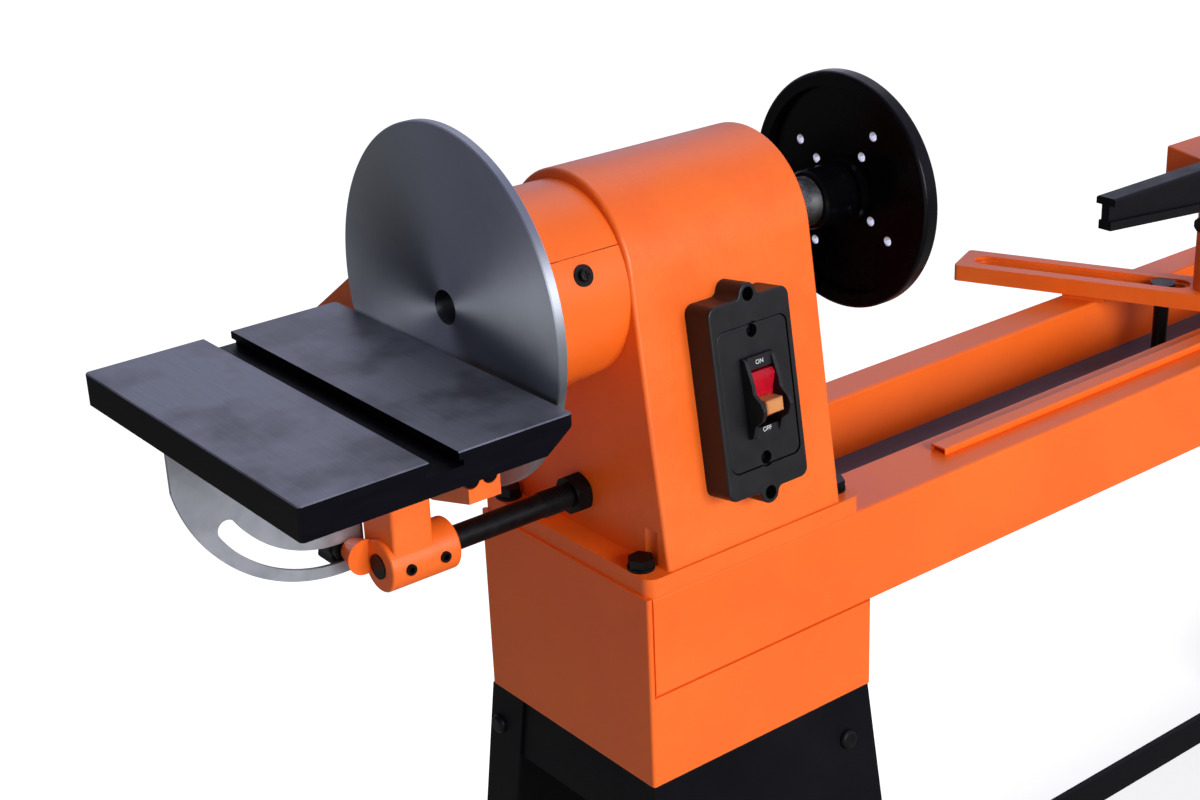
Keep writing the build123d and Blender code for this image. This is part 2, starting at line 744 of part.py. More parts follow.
def tommy_hole():
    turn = radians(118)
    axis = (0, cos(turn), sin(turn))
    deep = COLLAR_RADIUS - TAPER_RADIUS - 2
    start = Vector(TOMMY_X, *AXIS) + Vector(*axis) * (COLLAR_RADIUS - deep)
    return rod(TOMMY_RADIUS, start, axis, deep + 2)


def sanding_disc():
    """Turned disc with its hub behind."""
    face = -DISC_FACE
    back = face + DISC_THICK
    disc = rod_x(DISC_RADIUS, (face, back), AXIS)
    disc = chamfer(disc.edges().filter_by(GeomType.CIRCLE), 0.8)
    disc += rod_x(DISC_HUB, (back, back + DISC_HUB_LENGTH), AXIS)
    disc -= rod_x(DISC_HOLE, (face - 1, back + DISC_HUB_LENGTH), AXIS)
    return disc - rod_x(DISC_BORE, (back + DISC_HUB_LENGTH - DISC_SEAT, back + DISC_HUB_LENGTH + 1), AXIS)


def faceplate():
    """Threaded faceplate dished behind its rim, with two rings of screw holes."""
    back = FACEPLATE_FACE - FACEPLATE_THICK
    web = FACEPLATE_FACE - FACEPLATE_WEB
    plate = rod_x(FACEPLATE_RADIUS, (back, FACEPLATE_FACE), AXIS)
    plate = fillet(plate.edges().filter_by(GeomType.CIRCLE), 3)
    plate -= rod_x(FACEPLATE_RADIUS - FACEPLATE_RIM, (back - 1, web), AXIS)
    hub = rod_x(FACEPLATE_HUB, (COLLAR_END, web + 1), AXIS)
    plate += chamfer(hub.edges().group_by(Axis.X)[0], 1.5)
    plate += rod_x(FACEPLATE_ROOT, (web - FACEPLATE_ROOT_LONG, web + 1), AXIS)
    plate -= rod_x(NOSE_RADIUS, (COLLAR_END - 1, FACEPLATE_FACE + 1), AXIS)
    for ring in (FACEPLATE_INNER, FACEPLATE_OUTER):
        for quarter in range(4):
            turn = radians(FACEPLATE_TURN + 90 * quarter)
            centre = (AXIS[0] + ring * cos(turn), AXIS[1] + ring * sin(turn))
            plate -= rod_x(FACEPLATE_HOLE, (back - 10, FACEPLATE_FACE + 1), centre)
    return plate


# Belt drive


def pulley(radii, bore, centre):
    """Stepped V pulley turned about the x axis through a centre."""
    outline = [(PULLEY_LEFT, bore)]
    for step, radius in enumerate(radii):
        left = PULLEY_LEFT + step * STEP_WIDTH
        middle = left + STEP_WIDTH / 2
        floor = radius - GROOVE_DEPTH
        outline += [(left, radius), (middle - GROOVE_TOP / 2, radius), (middle - GROOVE_FLOOR / 2, floor)]
        outline += [(middle + GROOVE_FLOOR / 2, floor), (middle + GROOVE_TOP / 2, radius)]
        outline += [(left + STEP_WIDTH, radius)]
    outline.append((PULLEY_LEFT + len(radii) * STEP_WIDTH, bore))
    turned = revolve(polygon(*outline), Axis.X)
    return Pos(0, *centre) * turned


def spindle_radii():
    return tuple(reversed(STEP_RADII))


def belt_radii():
    """Outside radius of the belt on the spindle and on the motor."""
    return spindle_radii()[-1 - BELT_STEP], STEP_RADII[-1 - BELT_STEP]


def belt_middle():
    return PULLEY_LEFT + (len(STEP_RADII) - 0.5 - BELT_STEP) * STEP_WIDTH


def v_belt():
    """Closed V belt on one pair of steps, cut to its taper side by side."""
    on_spindle, on_motor = belt_radii()
    slope = (GROOVE_TOP - GROOVE_FLOOR) / 2 / GROOVE_DEPTH
    belt = None
    slices = 4
    for number in range(slices):
        top = number * BELT_DEPTH / slices
        low = top + BELT_DEPTH / slices
        half = GROOVE_TOP / 2 - BELT_SIDE - slope * low
        outer = capsule(AXIS, on_spindle - top, MOTOR_AXIS, on_motor - top)
        inner = capsule(AXIS, on_spindle - low, MOTOR_AXIS, on_motor - low)
        layer = prism(outer - inner, "x", belt_middle() - half, belt_middle() + half)
        belt = layer if belt is None else belt + layer
    return belt


def motor_shaft():
    return rod_x(MOTOR_SHAFT, (PULLEY_LEFT - 2, MOTOR_LEFT + MOTOR_SEAT), MOTOR_AXIS)


def head_back(z):
    """Rear face of the headstock at a height."""
    return BED_DEPTH - z * tan(radians(BACK_LEAN))


def motor_body():
    """Finned motor with a foot bolted against the back of the headstock."""
    right = MOTOR_LEFT + MOTOR_LENGTH
    case = rod_x(MOTOR_RADIUS, (MOTOR_LEFT, right), MOTOR_AXIS)
    case = fillet(case.edges().filter_by(GeomType.CIRCLE), 6)
    finned = (MOTOR_LEFT + 34, right - 48)
    for fin in range(FIN_COUNT):
        cut = block(finned, (MOTOR_RADIUS - FIN_DEPTH, MOTOR_RADIUS + 5), (-FIN_GAP / 2, FIN_GAP / 2))
        case -= Pos(0, *MOTOR_AXIS) * Rot(360 * fin / FIN_COUNT, 0, 0) * cut
    low, high = MOTOR_AXIS[1] - 42, MOTOR_AXIS[1] + 42
    foot_outline = polygon(
        (head_back(low), low), (MOTOR_AXIS[0], low), (MOTOR_AXIS[0], high), (head_back(high), high))
    case += prism(foot_outline, "x", finned[0] + 8, HEAD_RIGHT - 12)
    box = block(
        (finned[0] + 20, finned[0] + 80), (MOTOR_AXIS[0] - 28, MOTOR_AXIS[0] + 28),
        (MOTOR_AXIS[1], MOTOR_AXIS[1] + MOTOR_RADIUS + 20))
    case += fillet(box.edges().group_by(Axis.Z)[-1], 3)
    for ring in range(3):
        vent = rod_x(50 - 14 * ring, (right - 3, right + 1), MOTOR_AXIS)
        case -= vent - rod_x(45 - 14 * ring, (right - 3, right + 1), MOTOR_AXIS)
    return case - rod_x(MOTOR_SHAFT + RUN, (MOTOR_LEFT - 1, MOTOR_LEFT + MOTOR_SEAT + GAP), MOTOR_AXIS)


def guard_shell():
    """Belt housing round both pulleys, open towards the headstock."""
    outer = capsule(GUARD_AXIS, GUARD_RADIUS, MOTOR_AXIS, GUARD_MOTOR_RADIUS)
    inner = capsule(GUARD_AXIS, GUARD_RADIUS - GUARD_WALL, MOTOR_AXIS, GUARD_MOTOR_RADIUS - GUARD_WALL)
    shell = prism(outer, "x", GUARD_LEFT, HEAD_LEFT)
    shell = fillet(shell.edges().group_by(Axis.X)[0], 2)
    shell -= prism(inner, "x", GUARD_LEFT + GUARD_WALL, HEAD_LEFT + 1)
    return shell - rod_x(DISC_HUB + 6, (GUARD_LEFT - 1, GUARD_LEFT + 10), AXIS)


def belt_frame(shape):
    """Shape given along the middle of the guard from its front end, set into place."""
    return Pos(0, *GUARD_AXIS) * Rot(GUARD_TURN, 0, 0) * shape


def guard_half(side):
    """Upper (+1) or lower (-1) half, split along the middle."""
    reach = 600
    z = sorted((side * GUARD_SEAM / 2, side * reach))
    return guard_shell() & belt_frame(block((GUARD_LEFT - 1, HEAD_LEFT), (-reach, reach), z))


def guard_screw_frame(shape):
    """Shape along +Z, set radially on the front of the guard below the seam."""
    turn = radians(180 + GUARD_TURN + GUARD_SCREW_BELOW)
    out = (0, cos(turn), sin(turn))
    start = Vector(GUARD_SCREW_X, *GUARD_AXIS) + Vector(*out) * GUARD_RADIUS
    return Plane(start, z_dir=out) * shape


def guard_upper():
    """Upper half with the inner tab that takes the front screw."""
    inside = GUARD_RADIUS - GUARD_WALL
    low = -(inside - 2) * sin(radians(GUARD_SCREW_BELOW + 10))
    ring = rod_x(inside, (GUARD_SCREW_X - 14, GUARD_SCREW_X + 14), (0, 0))
    ring -= rod_x(inside - 2, (GUARD_SCREW_X - 15, GUARD_SCREW_X + 15), (0, 0))
    reach = block((GUARD_SCREW_X - 15, GUARD_SCREW_X + 15), (-GUARD_RADIUS, -20), (low, 14))
    tab = belt_frame(ring & reach) - guard_screw_frame(Cylinder(SCREW_SHANK + RUN, 30))
    return guard_half(1) + tab


def guard_lower():
    return guard_half(-1) - guard_screw_frame(Cylinder(SCREW_SHANK + RUN, 30))


def cross_screw(long):
    """Pan-head screw along +Z with its head above z = 0."""
    head = rod_z(SCREW_HEAD, (0, SCREW_HEAD_TALL), (0, 0))
    head = fillet(head.edges().group_by(Axis.Z)[-1], 1.6)
    for turn in (0, 90):
        head -= Rot(0, 0, turn) * block((-2.6, 2.6), (-0.55, 0.55), (SCREW_HEAD_TALL - 1.4, 5))
    return head + rod_z(SCREW_SHANK, (-long, 0.1), (0, 0))


def guard_screw():
    """Guard screw on a wide washer."""
    washer = rod_z(7.5, (-0.8, 1.2), (0, 0))
    washer &= guard_screw_local_outside()
    return guard_screw_frame(washer + Pos(0, 0, 1.2) * cross_screw(9))


def guard_screw_local_outside():
    """Space outside the guard's skin, in the screw's own frame."""
    room = block((-10, 10), (-10, 10), (-1, 2))
    skin = Plane((-10, 0, -GUARD_RADIUS), z_dir=(1, 0, 0))
    turn = Rot(0, 0, 0) * (skin * Cylinder(GUARD_RADIUS, 60))
    across = Rot(0, 0, 90) * turn
    return room - across


def cover_screws():
    """Cross-head screws of the guard and the switch."""
    screws = [guard_screw()]
    for side in (-1, 1):
        screws.append(SWITCH_PLANE * Pos(0, side * PLATE_SCREWS / 2, cup_floor()) * cross_screw(8))
        floor = SWITCH_DEEP - EAR_SINK
        screws.append(SWITCH_PLANE * Pos(0, side * EAR_SPACING / 2, floor) * cross_screw(floor + 5))
    return screws


# Switch


def rounded(wide, tall, deep, corner):
    """Plate on z = 0 with rounded corners."""
    return extrude(RectangleRounded(wide, tall, corner), deep)


def cup_floor():
    """Seat of a plate screw's head along the switch plane's normal."""
    return plate_back() - PLATE_CUP + PLATE_CUP_FLOOR


def plate_back():
    """Back of the front plate along the switch plane's normal."""
    return SWITCH_DEEP - PLATE_THICK - 0.5


def switch_box():
    """Housing with screw ears above and below and a seat for the front plate."""
    box = rounded(SWITCH_WIDTH, SWITCH_TALL, SWITCH_DEEP, SWITCH_CORNER)
    for side in (-1, 1):
        box += Pos(0, side * EAR_SPACING / 2, 0) * extrude(Circle(SWITCH_EAR), SWITCH_DEEP)
    roots = [
        e for e in box.edges().filter_by(Axis.Z)
        if abs(e.center().X) < SWITCH_EAR + 1 and abs(abs(e.center().Y) - SWITCH_TALL / 2) < 0.1]
    box = fillet(roots, EAR_FLARE)
    box = fillet(box.edges().group_by(Axis.Z)[-1], 1.5)
    back = plate_back()
    seat = rounded(PLATE_WIDTH + 2 * PLAY, PLATE_TALL + 2 * PLAY, PLATE_THICK + 1, PLATE_CORNER)
    box -= Pos(0, 0, back) * seat
    hollow = rounded(PLATE_WIDTH - 8, PLATE_SCREWS - 2 * PLATE_CUP_RADIUS - 6, SWITCH_DEEP, 4)
    box -= Pos(0, 0, SWITCH_WALL) * hollow
    for side in (-1, 1):
        ear = Pos(0, side * EAR_SPACING / 2, 0)
        box -= ear * Cylinder(SWITCH_SCREW_HOLE, 3 * SWITCH_DEEP)
        box -= ear * Pos(0, 0, SWITCH_DEEP) * Cylinder(SCREW_HEAD + 0.5, 2 * EAR_SINK)
        box -= Pos(0, side * PLATE_SCREWS / 2, back) * Cylinder(PLATE_CUP_RADIUS + GAP, 2 * (PLATE_CUP + GAP))
        box -= Pos(0, side * PLATE_SCREWS / 2, back) * Cylinder(SCREW_SHANK + RUN, 4 * PLATE_CUP)
    return SWITCH_PLANE * box


def cheek_outline():
    """Side of the hood in (up, out) coordinates."""
    low = SWITCH_DEEP - PLATE_THICK
    side = polygon(
        (HOOD_HALF, low), (HOOD_HALF, SWITCH_DEEP + 4), (12, SWITCH_DEEP + 9), (4, SWITCH_DEEP + 10),
        (KEY_UP + 5, SWITCH_DEEP + 16), (KEY_UP - 1, SWITCH_DEEP + 19), (KEY_UP - 8, SWITCH_DEEP + 16),
        (KEY_UP - 13, SWITCH_DEEP + 8), (-HOOD_HALF, SWITCH_DEEP + 4), (-HOOD_HALF, low))
    return fillet([corner for corner in side.vertices() if corner.Y > low + 1], 4)


def switch_plate():
    """Front plate with the hood round the paddle."""
    back = plate_back()
    plate = rounded(PLATE_WIDTH, PLATE_TALL, PLATE_THICK, PLATE_CORNER)
    plate = Pos(0, 0, back) * fillet(plate.edges().group_by(Axis.Z)[-1], PLATE_EDGE)
    half = PADDLE_WIDTH / 2 + GAP
    for side in (-1, 1):
        x = sorted((side * half, side * (half + CHEEK)))
        plate += prism(cheek_outline(), "x", *x)
        plate += rod_x(PADDLE_LUG, x, (0, PADDLE_PIVOT))
    tall = PADDLE_TALL / 2
    plate += block((-half, half), (tall + 2, HOOD_HALF), (back, SWITCH_DEEP + 4))
    plate += block((-half, half), (-HOOD_HALF, -tall - 4), (back, SWITCH_DEEP + 4))
    plate -= block((-half, half), (-tall - 4, tall + 2), (back - 1, SWITCH_DEEP + 60))
    plate -= rod_x(PADDLE_PIN + RUN, (-half - CHEEK - 1, half + CHEEK + 1), (0, PADDLE_PIVOT))
    for side in (-1, 1):
        at = Pos(0, side * PLATE_SCREWS / 2, 0)
        ends = (Align.CENTER, Align.CENTER, Align.MIN)
        plate += at * Pos(0, 0, back - PLATE_CUP) * Cylinder(PLATE_CUP_RADIUS, PLATE_CUP + 1, align=ends)
        plate -= at * Pos(0, 0, cup_floor()) * Cylinder(SCREW_HEAD + PLAY / 2, SWITCH_DEEP, align=ends)
        plate -= at * Pos(0, 0, back) * Cylinder(SCREW_SHANK + PLAY, 4 * PLATE_CUP)
    return SWITCH_PLANE * plate


def key_room(play):
    """Key body in the switch frame, grown by a play all round."""
    half = KEY_WIDTH / 2 + play
    low = PADDLE_PIVOT + 1 - play
    return block(
        (-half, half), (KEY_UP - KEY_TALL / 2 - play, KEY_UP + KEY_TALL / 2 + play), (low, low + KEY_DEEP))


def switch_paddle():
    """Rocking paddle on two pin stubs with its upper half standing out and a socket for the key."""
    tall = PADDLE_TALL / 2
    base = PADDLE_PIVOT
    side = polygon(
        (-tall, base - 5), (tall, base - 5), (tall, base + 8), (tall - 3, base + 11),
        (2, base + 6.5), (-tall + 2, base + 5), (-tall, base + 3))
    half = PADDLE_WIDTH / 2
    paddle = prism(side, "x", -half, half)
    paddle += rod_x(PADDLE_PIN, (-half - CHEEK, half + CHEEK), (0, PADDLE_PIVOT))
    return SWITCH_PLANE * (paddle - key_room(GAP))


def safety_key():
    """Pull-out key in the lower half of the paddle."""
    key = key_room(0)
    key = fillet(key.edges().group_by(Axis.Z)[-1], 2)
    return SWITCH_PLANE * key


# Sanding table


def table_ribs(play):
    """Short round ribs under the table at the front end of the trunnion arm."""
    front = TRUNNION_FRONT - TABLE_RIB_AHEAD
    y = (front - play, front + TABLE_RIB_LONG + play)
    return [rod_y(TABLE_RIB + play, y, (TRUNNION_X + x, TABLE_BOTTOM)) for x in TABLE_RIB_X]


def sanding_table():
    """Cast table with a lipped mitre slot and a bevel under its disc edge."""
    table = block((TABLE_LEFT, TABLE_RIGHT), (TABLE_FRONT, TABLE_BACK), (TABLE_BOTTOM, TABLE_TOP))
    table = fillet(table.edges().filter_by(Axis.Z), 3)
    table = chamfer(table.edges().group_by(Axis.Z)[-1], 0.8)
    bevel = polygon(
        (TABLE_RIGHT - 1.4 * TABLE_BEVEL, TABLE_BOTTOM - 1), (TABLE_RIGHT + 1, TABLE_BOTTOM - 1),
        (TABLE_RIGHT + 1, TABLE_BOTTOM + TABLE_BEVEL))
    table -= prism(bevel, "y", TABLE_FRONT - 1, TABLE_BACK + 1)
    left = TABLE_LEFT + SLOT_LEFT
    long = (TABLE_FRONT - 1, TABLE_BACK + 1)
    table -= block((left, left + SLOT_WIDTH), long, (TABLE_TOP - SLOT_DEPTH, TABLE_TOP + 1))
    for rib in table_ribs(0):
        table += fillet(rib.edges().group_by(Axis.Y)[0], 2)
    floor = TABLE_TOP - SLOT_DEPTH
    return table - block(
        (left - SLOT_LIP, left + SLOT_WIDTH + SLOT_LIP), long, (floor, floor + SLOT_UNDERCUT))


def trunnion():
    """Arm and pivot lugs bolted under the table."""
    half = TRUNNION_WIDTH / 2
    low = PIVOT_Z - PIVOT_BOSS + 3
    end = RIB_FRONT - 2 * PIVOT_PIN
    arm = polygon(
        (TRUNNION_FRONT, TABLE_BOTTOM), (TRUNNION_FRONT, TABLE_BOTTOM - TRUNNION_TIP),
        (TRUNNION_DEEP_AT, low), (end, low), (end, TABLE_BOTTOM))
    piece = prism(arm, "x", TRUNNION_X - half, TRUNNION_X + half)
    for rib in table_ribs(PLAY):
        piece -= rib
    wide = (PIVOT_X - TRUNNION_REACH, PIVOT_X + TRUNNION_REACH)
    plate_z = (TABLE_BOTTOM - TRUNNION_PLATE, TABLE_BOTTOM)
    plate = block(wide, (LUG_FRONT - 12, QUADRANT_FRONT), plate_z)
    window = PIVOT_BOSS + 2 * GAP
    piece += plate - block(
        (PIVOT_X - window, PIVOT_X + window), (RIB_FRONT - GAP, RIB_BACK + GAP),
        (TABLE_BOTTOM - TRUNNION_PLATE - 1, TABLE_BOTTOM + 1))
    for y in ((LUG_FRONT, RIB_FRONT - GAP), (RIB_BACK + GAP, LUG_BACK)):
        lug = rod_y(PIVOT_BOSS, y, (PIVOT_X, PIVOT_Z))
        lug += block((PIVOT_X - PIVOT_BOSS, PIVOT_X + PIVOT_BOSS), y, (PIVOT_Z, TABLE_BOTTOM))
        piece += lug
    return piece - rod_y(PIVOT_PIN, (LUG_FRONT - 1, LUG_BACK + 1), (PIVOT_X, PIVOT_Z))


def pivot_pin():
    """Pin pressed into the lugs, turning in the bracket."""
    return rod_y(PIVOT_PIN, (LUG_FRONT, LUG_BACK), (PIVOT_X, PIVOT_Z))


def arc_slot(radius, start, end, width):
    """Curved slot about the pivot, in x and z."""
    spots = [radians(start), radians((start + end) / 2), radians(end)]
    points = [(radius * cos(a), radius * sin(a)) for a in spots]
    slot = SlotArc(ThreePointArc(*points), width)
    return Pos(PIVOT_X, PIVOT_Z) * slot


def quadrant():
    """Sector plate with the curved slot of the tilt lock."""
    centre = (PIVOT_X + QUADRANT_SHIFT_X, PIVOT_Z + QUADRANT_SHIFT_Z)
    reach = QUADRANT_RADIUS
    sector = Pos(*centre) * Circle(reach)
    left, right = TABLE_LEFT + 0.5, PIVOT_X + QUADRANT_RIGHT
    low = PIVOT_Z - 2 * reach
    below = polygon((left, TABLE_BOTTOM), (right, TABLE_BOTTOM), (right, low), (left, low))
    sector = sector & below
    sector -= arc_slot(TILT_RADIUS, TILT_SLOT_FROM, TILT_SLOT_TO, TILT_SLOT)
    return prism(sector, "y", QUADRANT_FRONT, QUADRANT_FRONT + QUADRANT_THICK)


def table_bracket():
    """Clamp boss on the rod with the upright to the pivot and the stud boss."""
    rod_at = (SPINDLE_Y, ROD_HEIGHT)
    boss_x = (BOSS_LEFT, BOSS_LEFT + BOSS_LENGTH)
    boss = rod_x(BOSS_RADIUS, boss_x, rod_at)
    boss = fillet(boss.edges().filter_by(GeomType.CIRCLE), 2)
    upright = block(UPRIGHT_X, UPRIGHT_Y, (ROD_HEIGHT, UPRIGHT_TOP))
    boss += fillet(upright.edges().filter_by(Axis.Z), 3)
    left, right = UPRIGHT_X
    rib = polygon(
        (left, UPRIGHT_TOP - 12), (right, UPRIGHT_TOP - 12), (right, UPRIGHT_TOP),
        (PIVOT_X + PIVOT_BOSS, PIVOT_Z), (PIVOT_X - PIVOT_BOSS, PIVOT_Z), (left, UPRIGHT_TOP))
    rib = rib + Pos(PIVOT_X, PIVOT_Z) * Circle(PIVOT_BOSS)
    boss += prism(rib, "y", RIB_FRONT, RIB_BACK)
    stud_from = SPINDLE_Y + ROD_RADIUS + 2
    ends = (Align.CENTER, Align.CENTER, Align.MIN)
    stud = Cone(STUD_BOSS, STUD_END, QUADRANT_FRONT - GAP - stud_from, align=ends)
    boss += Plane((STUD_X, stud_from, STUD_Z), z_dir=(0, 1, 0)) * stud
    boss -= rod_x(ROD_RADIUS + RUN, (boss_x[0] - 1, boss_x[1] + 1), rod_at)
    boss -= rod_y(PIVOT_PIN + RUN, (RIB_FRONT - 1, RIB_BACK + 1), (PIVOT_X, PIVOT_Z))
    boss -= rod_y(STUD_RADIUS + RUN, (stud_from + 1, QUADRANT_FRONT), (STUD_X, STUD_Z))
    for x in SETSCREW_X:
        boss -= rod_y(SETSCREW_RADIUS, (0, SPINDLE_Y), (boss_x[0] + x, ROD_HEIGHT))
    return boss


def setscrews():
    """Socket screws that lock the bracket on its rod."""
    screws = []
    front = SPINDLE_Y - BOSS_RADIUS - 1.5
    for x in SETSCREW_X:
        at = (BOSS_LEFT + x, ROD_HEIGHT)
        screw = rod_y(SETSCREW_RADIUS, (front, SPINDLE_Y - ROD_RADIUS - GAP), at)
        socket = Plane((at[0], front, at[1]), z_dir=(0, 1, 0)) * extrude(hexagon(4), 4)
        screws.append(screw - socket)
    return screws


def tilt_knob():
    """Star knob with its stud through the curved slot."""
    front = QUADRANT_FRONT + QUADRANT_THICK + GAP
    at = (STUD_X, STUD_Z)
    deep = (front + 5, front + 5 + KNOB_THICK)
    knob = rod_y(KNOB_RADIUS, deep, at)
    knob = fillet(knob.edges().filter_by(GeomType.CIRCLE), 3)
    for lobe in range(KNOB_LOBES):
        turn = radians(270 + 360 * lobe / KNOB_LOBES)
        reach = KNOB_RADIUS * 1.12
        spot = (at[0] + reach * cos(turn), at[1] + reach * sin(turn))
        knob -= rod_y(KNOB_RADIUS * 0.38, (deep[0] - 1, deep[1] + 1), spot)
    knob += rod_y(11, (front, front + 6), at)
    return knob + rod_y(STUD_RADIUS, (SPINDLE_Y + ROD_RADIUS + 4, front + 6), at)


def support_rod():
    return rod_x(ROD_RADIUS, (ROD_LEFT, HEAD_LEFT + HEAD_WALL + 8), (SPINDLE_Y, ROD_HEIGHT))


def rod_nut():
    """Jam nut against the headstock."""
    at = (HEAD_LEFT - ROD_NUT_THICK, SPINDLE_Y, ROD_HEIGHT)
    corners = rod_z(ROD_NUT_FLATS / sqrt(3), (0, ROD_NUT_THICK), (0, 0))
    corners = chamfer(corners.edges().filter_by(GeomType.CIRCLE), 2)
    nut = extrude(hexagon(ROD_NUT_FLATS), ROD_NUT_THICK) & corners
    nut -= Cylinder(ROD_RADIUS, THROUGH)
    return Plane(at, x_dir=(0, 0, 1), z_dir=(1, 0, 0)) * nut


# Banjo and tool rest


def banjo_frame(shape):
    """Shape given with x along the arm from the clamp bolt, set into place."""
    return Pos(CLAMP_X, CLAMP_Y, 0) * Rot(0, 0, BANJO_ANGLE - 90) * shape


def banjo():
    """Slotted arm with the tool-post boss and a rib that rides the rear rail."""
    half = BANJO_WIDTH / 2
    arm = block((-BANJO_REAR, POST_AHEAD), (-half, half), (BANJO_BOTTOM, BANJO_TOP))
    arm = fillet(arm.edges().filter_by(Axis.Z), 4)
    arm += rod_z(POST_RADIUS, (BANJO_BOTTOM, POST_TOP), (POST_AHEAD, 0))
    inset = half - BANJO_RIB_INSET
    arm += block(BANJO_RIB, (-inset, inset), (GAP, BANJO_BOTTOM))
    long = BANJO_SLOT_FROM + BANJO_SLOT_TO
    slot = extrude(SlotOverall(long, BANJO_SLOT), THROUGH)
    middle = (BANJO_SLOT_TO - BANJO_SLOT_FROM) / 2
    arm -= Pos(middle, 0, -9) * slot
    step = extrude(SlotOverall(long + 8, BANJO_SLOT + 8), THROUGH)
    step -= Pos(POST_AHEAD - middle, 0, 0) * Cylinder(POST_RADIUS, 3 * POST_TOP)
    arm -= Pos(middle, 0, BANJO_TOP - BANJO_SLOT_STEP) * step
    arm -= rod_z(SLEEVE_RADIUS + RUN, (BANJO_BOTTOM + 6, POST_TOP + 1), (POST_AHEAD, 0))
    arm = banjo_frame(arm)
    return arm - rod_x(LOCK_SCREW + RUN, (POST_X - 2 * POST_RADIUS, POST_X), (POST_Y, LOCK_UP))


def clamp_plate_y():
    """Reach of a clamp plate under the two rails."""
    return FRONT_RAIL - CLAMP_PLATE_GRIP, BED_DEPTH - REAR_RAIL + CLAMP_PLATE_GRIP


def clamp_plate():
    """Plate that pulls up under both rails."""
    y = clamp_plate_y()
    half = CLAMP_PLATE_WIDTH / 2
    plate = block((CLAMP_X - half, CLAMP_X + half), y, (UNDER_RAIL - CLAMP_PLATE_THICK, UNDER_RAIL))
    hole = rod_z(CLAMP_BOLT + RUN, (UNDER_RAIL - THROUGH, 1), (CLAMP_X, CLAMP_Y))
    return plate - hole


def clamp_bolt():
    """Bolt with its flat head in the slot and its nut below the clamp plate."""
    at = (CLAMP_X, CLAMP_Y)
    floor = BANJO_TOP - BANJO_SLOT_STEP + GAP
    under = UNDER_RAIL - CLAMP_PLATE_THICK - GAP
    bolt = rod_z(CLAMP_BOLT, (under - CLAMP_NUT_TALL - 6, floor + 1), at)
    bolt += rod_z(BANJO_SLOT / 2 + 3.4, (floor, floor + CLAMP_HEAD_THICK), at)
    return bolt + Pos(*at, under - CLAMP_NUT_TALL) * extrude(hexagon(CLAMP_NUT_FLATS), CLAMP_NUT_TALL)


def rest_collar():
    """Turning sleeve between the post boss and the tool rest's stem."""
    at = (POST_X, POST_Y)
    sleeve = rod_z(SLEEVE_RADIUS, (BANJO_BOTTOM + 6 + GAP, POST_TOP + GAP), at)
    sleeve += rod_z(SLEEVE_LIP, (POST_TOP + GAP, POST_TOP + GAP + SLEEVE_LIP_THICK), at)
    return sleeve - rod_z(STEM_RADIUS + RUN, (0, POST_TOP + THROUGH), at)


def tool_rest():
    """Cast rest of I section, deepest over its stem."""
    left, right = POST_X - REST_LENGTH / 2, POST_X + REST_LENGTH / 2
    ends, middle = REST_TOP - REST_END_DEEP, REST_TOP - REST_MID_DEEP

    def lower_edge(up):
        return [(left, ends + up), (POST_X - 40, middle + up), (POST_X + 40, middle + up), (right, ends + up)]

    def across(width):
        return POST_Y - width / 2, POST_Y + width / 2

    rest = prism(polygon((right, REST_TOP), (left, REST_TOP), *lower_edge(0)), "y", *across(REST_WEB))
    bead = polygon(*lower_edge(0), *reversed(lower_edge(8)))
    rest += prism(bead, "y", *across(REST_BEAD))
    flange = block((left, right), across(REST_WIDTH), (REST_TOP - REST_FLANGE, REST_TOP))
    rest += fillet(flange.edges().filter_by(Axis.X).group_by(Axis.Z)[-1], 2.5)
    rest += rod_z(STEM_RADIUS + 4, (middle, REST_TOP - REST_FLANGE), (POST_X, POST_Y))
    return rest + rod_z(STEM_RADIUS, (middle - STEM_LENGTH, middle), (POST_X, POST_Y))


def rest_lock_knob():
    """Knob and screw in the side of the post boss."""
    at = (POST_Y, LOCK_UP)
    out = POST_X - POST_RADIUS - GAP
    knob = rod_x(LOCK_KNOB, (out - LOCK_KNOB_LONG, out), at)
    knob = fillet(knob.edges().filter_by(GeomType.CIRCLE), 2)
    for notch in range(8):
        turn = radians(45 * notch)
        spot = (at[0] + (LOCK_KNOB + 1.4) * cos(turn), at[1] + (LOCK_KNOB + 1.4) * sin(turn))
        knob -= rod_x(2.4, (out - LOCK_KNOB_LONG - 1, out + 1), spot)
    return knob + rod_x(LOCK_SCREW, (out - 1, POST_X - SLEEVE_RADIUS - GAP), at)


# Tailstock


